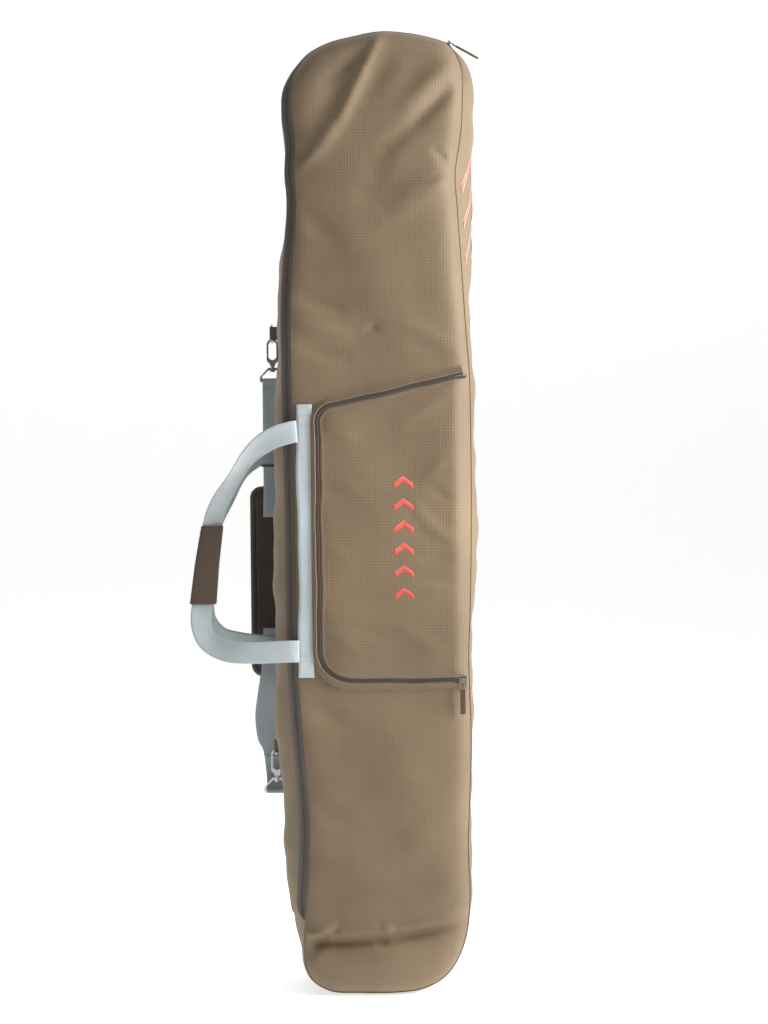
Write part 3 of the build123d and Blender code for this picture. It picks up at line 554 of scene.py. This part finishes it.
welt_points = pocket_profile(
    [20, 15, 12, 9.5, 8, 6.6, 5.4, 4.6, 4.2, 4.6], [7.4, 6.2, 4.6, 2.6, 0.8, -0.5, -0.9, -0.3, 0.6, 1.3]
)
welt_inside, welt_rim = edge_gap(welt_points[:, 0, 0], welt_points[:, 0, 2])
welt_points[:, 0, 1] = face_depth(welt_points[:, 0, 0], welt_points[:, 0, 2], welt_inside, welt_rim) + 0.0012
welt_points[:, 1, 1] = 0.6 * welt_points[:, 0, 1] + 0.4 * welt_points[:, 2, 1]
pocket_welt = add_sheet("pocket_welt", welt_points, canvas, uv=welt_points[..., ::2])
tape_growth, tape_depth = [6, 3.4, 1.8, 1.0, 0.5, 0.4], [0.9, 0.7, 0.5, -0.2, -0.1, 1.2]
inner_growth, inner_depth = [-0.4, -0.5, -1.0, -1.8, -3.4, -6], tape_depth[::-1]
outer_tape = add_sheet("pocket_tape_outer_cloth", pocket_profile(tape_growth, tape_depth), zip_tape_cloth)
inner_tape = add_sheet("pocket_tape_inner_cloth", pocket_profile(inner_growth, inner_depth), zip_tape_cloth)
outer_coil, inner_coil = (
    add_tube(f"pocket_coil_{side}_bead", pocket_profile([growth], [1.9])[:, 0], 0.0007, coil_plastic, sides=6)
    for side, growth in (("outer", 1.1), ("inner", -1.1)))
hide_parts("pocket_wall")
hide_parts("pocket_tape_outer")
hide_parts("pocket_tape_inner")
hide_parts("pocket_coil_outer")
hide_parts("pocket_coil_inner")
for piece, slot in ((pocket_welt, "canvas"), (outer_tape, "zip_tape"), (outer_coil, "zip_coil")):
    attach(piece, "front_lid")
for piece, slot in ((inner_tape, "zip_tape"), (inner_coil, "zip_coil")):
    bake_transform(piece)

# Pocket flap: a single sheet of canvas whose cut edge is turned under along the zip; on the right it
# runs on to the bag's seam.
right_side = (edge_z > pocket_base - 0.05) & (edge_z < pocket_top_right + 0.05) & (edge_x > 0)
right_z = np.interp(line_run / line_run[-1], [0, 1], [pocket_top_right + 0.004, pocket_base - 0.002])
order = np.argsort(edge_z[right_side])
right_x = np.interp(right_z, edge_z[right_side][order], edge_x[right_side][order]) - 0.0012
turned = np.array([-4.6, -4.2, -4.6, -5.4, -6.6, -8.0, -9.5]) * 0.001
turned_depth = np.array([1.3, 0.6, -0.3, -0.9, -1.0, -1.0, -1.0]) * 0.001
rim_place = line[:, None] + line_out[:, None] * (turned[None, :, None] + 0.6 * wander[:, None, None])
inner_share = (np.linspace(0, 1, 44)[1:] ** 1.25)[None, :, None]
flap_goal = np.stack([right_x, right_z], 1)[:, None]
flap_flat = np.concatenate([rim_place, rim_place[:, -1:] + inner_share * (flap_goal - rim_place[:, -1:])], 1)
flap_inside = np.linalg.norm(flap_flat - rim_place[:, -1:], axis=2)
flap_inside[:, :7] = 0


# Flap folds, as on the panel: x, z of both ends, half width and rise in millimetres.
flap_folds = (
    (-85, 985, -40, 965, 9, 1.6), (-60, 1000, 20, 1010, 12, -1.5), (118, 1040, 40, 990, 12, 2.0),
    (128, 790, 92, 812, 12, 2.6), (92, 812, 66, 852, 12, 2.0), (128, 760, 80, 756, 10, -1.8),
    (126, 700, 60, 712, 13, 2.0), (60, 712, 10, 690, 13, 1.4), (-95, 640, -40, 600, 12, 1.8),
    (-60, 640, 20, 625, 12, -1.6), (100, 600, 40, 640, 14, 1.8), (-90, 900, -30, 880, 13, 1.4),
    (-95, 780, -50, 760, 12, 1.4), (118, 940, 88, 900, 12, 1.8), (120, 860, 96, 880, 9, -1.6),
)


def flap_depth(x, z, inside):
    """Depth of the flap: it swells a little off the zip, sinks to the panel by the right seam, and
    has slow waves and a few folds."""
    swell = 0.0028 * (1 - np.exp(-inside / 0.022))
    wave = 0.0008 * np.sin(x * 38 + z * 17) + 0.0006 * np.sin(z * 29 - x * 21 + 2)
    right = ramp(x, 0.128, 0.166)
    wave = wave + fold_height(x * 1000, z * 1000, flap_folds) * 0.001
    flat = flap_y - 0.0010 - swell - wave * (1 - np.exp(-inside / 0.02))
    return flat * (1 - right) + (-0.0600 - 0.0215 * np.sqrt(np.clip((0.1665 - x) / 0.038, 0, 1))) * right


flap_height = flap_depth(flap_flat[..., 0], flap_flat[..., 1], flap_inside)
flap_height[:, :7] += (turned_depth + 0.0010)[None] * (1 - ramp(flap_flat[:, :7, 0], 0.12, 0.15))
left_of_seam = 1 - ramp(flap_flat[..., 0], 0.12, 0.15)
flap_height += 0.5 * wander[:, None] * np.exp(-flap_inside / 0.006) * left_of_seam
flap_points = np.stack([flap_flat[..., 0], flap_height, flap_flat[..., 1]], -1)
pocket_flap = add_sheet("pocket_flap_cloth", flap_points, canvas, uv=flap_points[..., ::2])
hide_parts("pocket_flap", "pocket_side")
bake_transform(pocket_flap)

# Stitching: short thread capsules in rows, each sunk a little into the cloth it holds.
thread, _, _ = new_material("thread_tan", (0.30, 0.25, 0.19), 0.7)
pale_thread, _, _ = new_material("thread_pale", (0.52, 0.54, 0.54), 0.7)


def add_stitches(name, path, normal, material, length=0.0026, gap=0.0044, radius=0.00032):
    """Thread capsules one after another along a path: each is a six-sided spindle lying on it."""
    path = np.asarray(path, float)
    run = run_along(path)
    middle = np.arange(gap, run[-1] - gap, gap)
    ends = [at_runs(middle + side, run, path) for side in (-length / 2, length / 2)]
    ahead = ends[1] - ends[0]
    ahead = unit(ahead)
    up = np.broadcast_to(np.asarray(normal, float), ahead.shape)
    side = unit(np.cross(ahead, up))
    up = np.cross(side, ahead)
    place = np.array([0, 0.2, 0.8, 1.0])[None, :, None, None]
    size = radius * np.array([0.35, 1, 1, 0.35])[None, :, None, None]
    turn = np.linspace(0, 2 * np.pi, 6, endpoint=False)[None, None, :, None]
    rings = (
        ends[0][:, None, None] * (1 - place) + ends[1][:, None, None] * place
        + size * (side[:, None, None] * np.cos(turn) + up[:, None, None] * np.sin(turn))
    )
    first = np.arange(len(middle))[:, None, None] * 24
    ring, step = np.meshgrid(np.arange(3), np.arange(6), indexing="ij")
    corner = ring * 6 + step
    beside = ring * 6 + (step + 1) % 6
    quads = np.stack([corner, beside, beside + 6, corner + 6], -1).reshape(1, -1, 4)
    faces = (first + quads).reshape(-1, 4).tolist()
    return add_mesh(name, rings, faces, material)


welt_stitch_path = pocket_profile([10.6], [3.2])[:, 0]
welt_stitches = add_stitches("pocket_welt_stitches", welt_stitch_path, (0, -1, 0), thread)
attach(welt_stitches, "front_lid")
flap_stitch_path = flap_points[6:-6, 6] + [0, -0.0001, 0]
flap_stitches = add_stitches("pocket_flap_stitches", flap_stitch_path, (0, -1, 0), thread)
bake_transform(flap_stitches)

# Embroidered mark: a column of chevrons in orange satin stitch, slightly raised above the flap.
satin, satin_shader = ridged("satin_orange", (0.78, 0.075, 0.035), 0.42, 380, 0.0004, "Y")
satin_shader.inputs["Sheen Weight"].default_value = 0.4
(mark_left, _, mark_low), (mark_right, _, mark_high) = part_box("pocket_mark")
mark_rows, arm_points = 6, 15
mark_step = (mark_high - mark_low + 0.014) / mark_rows
row, arm, width = np.meshgrid(
    np.arange(mark_rows), np.linspace(-1, 1, 2 * arm_points + 1), np.linspace(-1, 1, 7), indexing="ij")
mark_x = (mark_left + mark_right) / 2 + arm * (mark_right - mark_left) / 2
mark_z = mark_low + row * mark_step + 0.0060 + (1 - np.abs(arm)) * 0.0125 + width * 0.0058
mark_lift = 0.0011 * (1 - width**2) * np.clip(8 * (1.02 - np.abs(arm)), 0, 1) + 0.0001
mark_y = flap_depth(mark_x, mark_z, 0.05) - mark_lift
mark_points = np.stack([mark_x, mark_y, mark_z], -1)
one_mark = grid_faces(2 * arm_points + 1, 7)
mark_faces = (np.arange(mark_rows)[:, None, None] * (2 * arm_points + 1) * 7 + one_mark[None]).reshape(-1, 4)
mark_uv = np.stack([width * 0.004 + 0.01, arm * 0.017], -1)
mark = add_mesh("pocket_mark_satin", mark_points, mark_faces, satin, mark_uv)
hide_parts("pocket_mark")
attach(mark, "pocket_flap")

# Gusset print: three outlined chevrons printed on the upper right of the gusset, pink with a pale edge.
print_pink, _, _ = new_material("print_pink", (0.50, 0.14, 0.12), 0.6)
print_pale, _, _ = new_material("print_pale", (0.36, 0.31, 0.26), 0.6)
print_rows = np.where((wide_x > 0.15) & (wide_z > 1.262) & (wide_z < 1.440))[0]
prints = (("pale", print_pale, 0.040, 0.0005), ("pink", print_pink, 0.018, 0.0008))
for name, material, stroke, lift in prints:
    print_points, print_faces = [], []
    for number in range(3):
        low_row = print_rows[-1] - 4 - number * 17
        arm, width = np.meshgrid(np.linspace(-1, 1, 25), np.linspace(-1, 1, 3), indexing="ij")
        place_row = low_row - 15 * (1 - np.abs(arm)) + width * stroke * 62
        place_column = 13 + arm * 8.5
        r0, c0 = np.floor(place_row).astype(int), np.floor(place_column).astype(int)
        fr, fc = (place_row - r0)[..., None], (place_column - c0)[..., None]
        spot = (
            (1 - fr) * (1 - fc) * gusset_points[r0, c0] + fr * (1 - fc) * gusset_points[r0 + 1, c0]
            + (1 - fr) * fc * gusset_points[r0, c0 + 1] + fr * fc * gusset_points[r0 + 1, c0 + 1]
        )
        print_faces.append(grid_faces(25, 3) + sum(len(p) for p in print_points))
        print_points.append((spot + out[r0] * lift).reshape(-1, 3))
    gusset_print = add_mesh(f"gusset_print_{name}", np.vstack(print_points), np.vstack(print_faces), material)
    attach(gusset_print, "root")

# Handles: polyester webbing with a rib across it. A strip is sewn down each face by the left side, and
# two loops leave it, turn over and run together through the hand wrap.
webbing_pale = cloth_material("webbing_pale", (0.54, 0.61, 0.64), 0.0026, 0.0009, 0.0009, 0.2, 0.55)
# Painted shade: the rear handle and the rear strip use the same pale webbing, painted darker as if in shade.
webbing_pale_shaded = cloth_material("webbing_pale_shaded", (0.40, 0.46, 0.48), 0.0026, 0.0009, 0.0009, 0.2, 0.55)
webbing_thick, stitch_lift = 0.0016, 0.0009


def add_ribbon(name, knots, count, material, wall=webbing_thick, columns=9, closed=False):
    """Webbing through knots of x, y, z (mm), half width (mm) and twist (degrees). Its width is square
    to its run and lies in the plane of the bag's face where the twist is 0."""
    curve = smooth_curve(knots, count, closed)
    path = curve[:, :3] * 0.001
    ahead = unit(np.gradient(path, axis=0))
    flat = unit(np.cross(ahead, [0.0, 1.0, 0.0]))
    lift = np.cross(flat, ahead)
    twist = np.radians(curve[:, 4:5])
    side = flat * np.cos(twist) + lift * np.sin(twist)
    across = np.linspace(-1, 1, columns)[None, :, None]
    points = path[:, None] + side[:, None] * across * curve[:, 3][:, None, None] * 0.001
    ribbon = add_sheet(name, points, material, wall=wall, offset=0)
    return ribbon, points, np.cross(side, ahead)


strip_low, strip_high = (np.array(corner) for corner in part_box("front_handle_strip"))
strip_middle_x = (strip_low[0] + strip_high[0]) * 500
for name, face, sign, body, material in (
    ("front", strip_low[1], -1, "front_lid", webbing_pale),
    ("rear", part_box("rear_handle_strip")[1][1], 1, "root", webbing_pale_shaded),
):
    strip_z = np.linspace(strip_high[2], strip_low[2], 26)
    strip_x = strip_middle_x / 1000 + 0.0012 * np.sin(strip_z * 19) + 0.0007 * np.sin(strip_z * 47)
    strip_across = np.linspace(-0.0135, 0.0135, 7)
    grid = np.stack(np.broadcast_arrays(
        strip_x[:, None] + strip_across, face - sign * (0.0004 + 0 * strip_z[:, None]), strip_z[:, None]), -1)
    strip = add_sheet(f"{name}_strip_webbing", grid, material, wall=webbing_thick, offset=0)
    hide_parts(f"{name}_handle_strip")
    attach(strip, body)
    rows_of_stitches = []
    for side in (1, 5):
        path = grid[1:-1, side] + [0, sign * stitch_lift, 0]
        rows_of_stitches.append(add_stitches(f"{name}_strip_stitches_{side}", path, (0, sign, 0), thread))
    for end in (1, 2, 23, 24):
        path = grid[end, 1:-1] + [0, sign * stitch_lift, 0]
        tack_name = f"{name}_strip_bartack_{end}"
        rows_of_stitches.append(add_stitches(tack_name, path, (0, sign, 0), thread, gap=0.003))
    for piece in rows_of_stitches:
        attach(piece, body)

handle_start_y = (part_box("front_handle")[0][1] + 0.0008) * 1000
wrap_low, wrap_high = (np.array(corner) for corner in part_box("hand_wrap"))
wrap_y = (wrap_low[1] + wrap_high[1]) * 500
handle_routes = {
    "front": (
        (-139, 981, handle_start_y, 19, 0), (-152, 979, handle_start_y - 1, 19, 3),
        (-186, 968, handle_start_y + 5, 19, 16), (-222, 941, -58, 19, 44), (-250, 903, -38, 19, 52),
        (-277, 862, -22, 18, 30), (-293, 824, wrap_y - 1.6, 16.5, 5), (-301, 776, wrap_y - 1.6, 17, 0),
        (-308, 716, wrap_y - 1.6, 18, 0), (-313, 678, wrap_y - 2, 18.5, 4), (-314, 644, -20, 18.5, 14),
        (-301, 615, -32, 18, 22), (-268, 600, -48, 19, 14), (-225, 597, -64, 19, 6),
        (-180, 599, handle_start_y + 5, 19, 2), (-152, 600, handle_start_y - 1, 19, 0),
        (-139, 600, handle_start_y, 19, 0),
    ),
    "rear": (
        (-139, 981, 82.7, 19, 0), (-152, 979, 83.2, 19, -3), (-184, 966, 66, 19, -14),
        (-214, 942, 38, 19, -28), (-244, 912, 20, 18.5, -46), (-268, 870, 2, 18, -36),
        (-291, 826, wrap_y + 1.6, 16.5, -6), (-300, 776, wrap_y + 1.6, 17, 0),
        (-307, 716, wrap_y + 1.6, 18, 0), (-311, 680, wrap_y + 2, 18.5, -6), (-305, 648, 0, 18.5, -20),
        (-284, 624, 16, 18, -30), (-250, 610, 32, 19, -20), (-215, 603, 48, 19, -10),
        (-182, 600, 68, 19, -3), (-152, 600, 83.2, 19, 0), (-139, 600, 82.7, 19, 0),
    ),
}
# The rear handle takes the pale webbing painted darker as shade.
for side_name, material in (("front", webbing_pale), ("rear", webbing_pale_shaded)):
    knots = [(x, y, z, half, twist) for x, z, y, half, twist in handle_routes[side_name]]
    handle, handle_points, handle_up = add_ribbon(
        f"{side_name}_handle_webbing", knots, 190, material, columns=11)
    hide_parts(f"{side_name}_handle")
    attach(handle, f"{side_name}_handle")
    for column in (1, 9):
        lifted = handle_points[3:-3, column] + handle_up[3:-3] * stitch_lift
        row = add_stitches(f"{side_name}_handle_stitches_{column}", lifted, (0, 1, 0), thread, gap=0.0052)
        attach(row, f"{side_name}_handle")

# Hand wrap: a padded brown sleeve that closes round both webbings, tapered a little and leaning with
# them, with a bound edge and two rows of stitching.
wrap_cloth = cloth_material("wrap_brown", (0.085, 0.058, 0.038), 0.0034, 0.0006, 0.0008, 0.3, 0.65)
wrap_turn = np.linspace(0, 2 * np.pi, 61)[None, :]
wrap_stops = [0, 0.006, 0.02, 0.06, 0.10, 0.2, 0.35, 0.5, 0.65, 0.8, 0.90, 0.94, 0.98, 0.994, 1.0]
wrap_share = np.array(wrap_stops)[:, None]
wrap_z = wrap_high[2] + 0.002 - wrap_share * (wrap_high[2] - wrap_low[2] + 0.002)
wrap_center = np.interp(wrap_z, [0.68, 0.75, 0.82], [-0.3115, -0.304, -0.2935])
pinch = 1 - 0.10 * np.exp(-((wrap_share - 0.08) / 0.02) ** 2)
pinch = pinch - 0.10 * np.exp(-((wrap_share - 0.92) / 0.02) ** 2)
pinch = pinch * np.where((wrap_share < 0.004) | (wrap_share > 0.996), 0.90, 1)
half_wide = 0.0182 + 0.0040 * wrap_share
half_deep = 0.0066 * pinch
wrap_points = np.stack(np.broadcast_arrays(
    wrap_center + half_wide * np.sign(np.cos(wrap_turn)) * np.abs(np.cos(wrap_turn)) ** 0.5,
    wrap_y / 1000 + half_deep * np.sign(np.sin(wrap_turn)) * np.abs(np.sin(wrap_turn)) ** 0.7, wrap_z), -1)
wrap = add_sheet("hand_wrap_sleeve", wrap_points, wrap_cloth, wall=0.0016, flip=True)
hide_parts("hand_wrap")
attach(wrap, "rear_handle")
for share_down in (0.08, 0.92):
    index = int(np.argmin(np.abs(wrap_share[:, 0] - share_down)))
    for half, direction in ((slice(31, 60), -1), (slice(1, 30), 1)):
        path = wrap_points[index, half] + [0, direction * 0.0001, 0]
        name = f"wrap_stitches_{int(share_down * 100)}_{'front' if direction < 0 else 'rear'}"
        row = add_stitches(name, path, (0, direction, 0), thread, length=0.0022, gap=0.0036)
        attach(row, "rear_handle")

# Shoulder strap: two lengths of grey webbing, each sewn back on itself round the bar of its hook's
# frame; the lower one is slack and bows out behind the bag.
strap_webbing = cloth_material("strap_webbing", (0.36, 0.42, 0.45), 0.0030, 0.0009, 0.0009, 0.2, 0.5)
frame_low, frame_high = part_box("upper_hook_frame")
strap_x = (frame_low[0] + frame_high[0]) * 500
strap_y = (frame_low[1] + frame_high[1]) * 500
upper_bar = frame_low[2] * 1000 + 2
lower_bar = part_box("lower_hook_frame")[0][2] * 1000 + 2
upper_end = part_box("strap_webbing_upper")[0][2] * 1000
lower_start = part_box("strap_webbing_lower")[1][2] * 1000
slack_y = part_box("strap_webbing_lower")[1][1] * 1000 - 0.8


def bar_turn(bar, over):
    """Half a turn round a bar from behind to in front, over (1) or under (-1) it."""
    bends = ((3.9, 0), (2.2, 3.3), (0, 4.1), (-2.2, 3.3), (-3.9, 0))
    return [(0, strap_y + behind, bar + over * rise) for behind, rise in bends]


upper_side = [
    (0, strap_y + 1.8, upper_bar - 12), (0, strap_y + 2.5, upper_bar - 9), (0, strap_y + 3.6, upper_bar - 5),
    *bar_turn(upper_bar, 1), (0, strap_y - 2.2, upper_bar - 6), (0, strap_y, upper_bar - 13),
    (0, strap_y, upper_bar - 60), (0, strap_y, upper_bar - 150), (0, strap_y, upper_end + 60),
    (-1, strap_y, upper_end),
]
lower_side = [
    (-3, strap_y, lower_start), (-6, strap_y, lower_start - 60), (-11, strap_y + 1, lower_start - 96),
    (-17, strap_y + 10, lower_start - 130), (-21, slack_y - 3, lower_start - 165),
    (-17, slack_y, lower_start - 205),
    (-7, slack_y, lower_bar + 70), (-2, slack_y - 1, lower_bar + 34), (0, strap_y + 9, lower_bar + 12),
    *bar_turn(lower_bar, -1), (0, strap_y - 2.2, lower_bar + 3.3),
    (0, strap_y + 1.5, lower_bar + 5.0), (0, strap_y + 9, lower_bar + 16),
    (-1, slack_y - 3.2, lower_bar + 36),
    (-3, slack_y - 1.9, lower_bar + 62),
]
strap_half = 0.019
strap_across = np.linspace(-strap_half, strap_half, 9)
doubled = {("upper", -1): -0.0017, ("lower", 1): 0.0019}
for name, side_route, count in (("upper", upper_side, 170), ("lower", lower_side, 210)):
    knots = np.array(side_route)[:, [1, 2, 0]]
    curve = smooth_curve(knots, count)[:, [2, 0, 1]] * 0.001
    points = curve[:, None] + np.stack([strap_across, 0 * strap_across, 0 * strap_across], -1)[None]
    points[..., 0] += strap_x * 0.001
    webbing = add_sheet(f"strap_{name}_webbing", points, strap_webbing, wall=0.0015, offset=0)
    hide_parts(f"strap_webbing_{name}")
    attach(webbing, "strap")
    tacks = (2, 4) if name == "upper" else (-8, -16)
    for tack in tacks:
        for face in (-1, 1):
            path = points[tack, 1:-1] + [0, face * stitch_lift, 0] + [0, doubled.get((name, face), 0), 0]
            side_name = "rear" if face > 0 else "front"
            row = add_stitches(
                f"strap_{name}_tack_{abs(tack)}_{side_name}", path, (0, face, 0), pale_thread, gap=0.0034)
            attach(row, "strap")

# Shoulder pad: a long foam pad in dark brown cloth with rounded corners, a bound edge and a quilting
# line sewn just inside it; the webbing is sewn down its middle.
pad_cloth = cloth_material("pad_brown", (0.052, 0.037, 0.026), 0.0030, 0.0004, 0.0008, 0.3, 0.7)
binding, _, _ = new_material("pad_binding", (0.10, 0.075, 0.055), 0.6)
pad_low, pad_high = (np.array(corner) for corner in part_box("pad_face"))
pad_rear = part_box("pad_backing")[1][1]
pad_middle = (pad_low + pad_high) / 2
pad_half = (pad_high - pad_low) / 2
corner_radius = 0.018
quarter = np.linspace(0, np.pi / 2, 13)
corner_ring = np.concatenate([
    np.stack([sx * (pad_half[0] - corner_radius) + corner_radius * np.cos(quarter + turn),
              sz * (pad_half[2] - corner_radius) + corner_radius * np.sin(quarter + turn)], 1)
    for sx, sz, turn in ((1, 1, 0), (-1, 1, np.pi / 2), (-1, -1, np.pi), (1, -1, 1.5 * np.pi))])
round_trip = np.vstack([corner_ring, corner_ring[:1]])
ring_run = run_along(round_trip)
ring_want = np.linspace(0, ring_run[-1], 360, endpoint=False)
pad_ring = at_runs(ring_want, ring_run, round_trip)
pad_steps = np.concatenate([np.linspace(0, 0.012, 13), np.linspace(0.012, pad_half[0], 12)[1:]])
goal_reach = pad_half[2] - 0.041
goal = np.stack([np.zeros(len(pad_ring)), np.clip(pad_ring[:, 1], -goal_reach, goal_reach)], 1)
pad_path = goal - pad_ring
pad_length = np.linalg.norm(pad_path, axis=1, keepdims=True)
pad_flat = pad_ring[:, None] + pad_path[:, None] * np.minimum(pad_steps[None, :] / pad_length, 1)[..., None]
pad_depth_in = pad_steps[None, :] + 0 * pad_length
quilting = np.exp(-(((pad_depth_in - 0.0072) / 0.0017) ** 2))
swell = 0.55 + 0.45 * (1 - np.exp(-pad_depth_in / 0.004)) - 0.42 * quilting
pad_half_deep = (pad_rear - pad_low[1]) / 2
ripple = 0.0006 * np.sin(pad_flat[..., 1] * 90) * np.exp(-pad_depth_in / 0.01)
for name, direction, nodes in (("front", -1, ("pad_face", "pad_foam")), ("rear", 1, ("pad_backing",))):
    depth = (pad_low[1] + pad_rear) / 2 + direction * (pad_half_deep * swell + ripple)
    points = np.stack([pad_middle[0] + pad_flat[..., 0], depth, pad_middle[2] + pad_flat[..., 1]], -1)
    half = add_sheet(
        f"pad_{name}_cloth", points, pad_cloth, closed=True, flip=direction < 0, uv=points[..., ::2])
    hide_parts(*nodes)
    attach(half, "strap")
ring_points = np.column_stack([
    pad_middle[0] + pad_ring[:, 0], 0 * pad_ring[:, 0] + (pad_low[1] + pad_rear) / 2,
    pad_middle[2] + pad_ring[:, 1]])
pad_edge = add_tube("pad_binding", ring_points, 0.0036, binding, closed=True, sides=12)
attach(pad_edge, "strap")

# Metal and moulded parts: nickel-plated rings, wire loops and sliders, cast hooks and gates, the
# frames, the ivory accessory ring and the strap adjuster.


def grained(name, color, roughness, metallic, grain, strength=1.0):
    """A material with a fine noise on Object coordinates that lifts its skin a little."""
    material, tree, shader = new_material(name, color, roughness, metallic)
    place = add_node(tree, "TexCoord")
    noise = add_node(tree, "TexNoise", grain)
    bump = add_node(tree, "Bump", {"Distance": 0.0002 if metallic else 0.0001, "Strength": strength})
    tree.links.new(place.outputs["Object"], noise.inputs["Vector"])
    tree.links.new(noise.outputs["Fac"], bump.inputs["Height"])
    tree.links.new(bump.outputs["Normal"], shader.inputs["Normal"])
    return material, tree, shader, noise


def worn_metal(name, color, roughness):
    """Plated or cast metal: a fine grain in its roughness and a slight waviness in its skin."""
    material, tree, shader, noise = grained(name, color, roughness, 1.0, {"Scale": 220, "Detail": 6}, 0.3)
    spread = add_node(tree, "MapRange", {"To Min": roughness * 0.7, "To Max": roughness * 1.5})
    tree.links.new(noise.outputs["Fac"], spread.inputs["Value"])
    tree.links.new(spread.outputs["Result"], shader.inputs["Roughness"])
    return material


def moulded(name, color, roughness=0.45):
    """Moulded plastic: a fine pebble in its skin and a slight change of tone."""
    material, tree, shader, noise = grained(name, color, roughness, 0.0, {"Scale": 900})
    darker, lighter = (*(0.9 * np.array(color)), 1), (*np.minimum(1.1 * np.array(color), 1), 1)
    tone = add_node(tree, "Mix", {"A": darker, "B": lighter}, data_type="RGBA")
    tree.links.new(noise.outputs["Fac"], tone.inputs["Factor"])
    tree.links.new(tone.outputs["Result"], shader.inputs["Base Color"])
    return material


nickel = worn_metal("nickel", (0.62, 0.60, 0.56), 0.26)
cast_grey = worn_metal("cast_grey", (0.34, 0.35, 0.36), 0.42)
cast_silver = worn_metal("cast_silver", (0.72, 0.73, 0.74), 0.34)
ivory = moulded("ivory_plastic", (0.66, 0.62, 0.54))
dark_plastic = moulded("dark_plastic", (0.045, 0.040, 0.038))
pull_cloth = cloth_material("pull_cloth", (0.085, 0.055, 0.036), 0.002, 0.0003, 0.0007, 0.2, 0.5)
tab_webbing = cloth_material("tab_webbing", (0.13, 0.10, 0.075), 0.0024, 0.0004, 0.0008, 0.2, 0.6)
node_materials = {
    nickel: (
        "main_slider", "main_pull_loop", "pocket_slider", "pocket_pull_loop", "upper_ring", "lower_ring"),
    cast_grey: ("upper_hook", "upper_gate", "upper_hook_frame"),
    cast_silver: ("lower_hook", "lower_gate", "lower_hook_frame"),
    ivory: ("side_ring",),
    dark_plastic: ("strap_adjuster",),
    pull_cloth: ("main_pull_tab", "pocket_pull_tab"),
    tab_webbing: ("upper_ring_tab", "lower_ring_tab", "side_ring_tab"),
}
for material, nodes in node_materials.items():
    for node in nodes:
        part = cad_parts[node]
        part.data.materials.clear()
        part.data.materials.append(material)
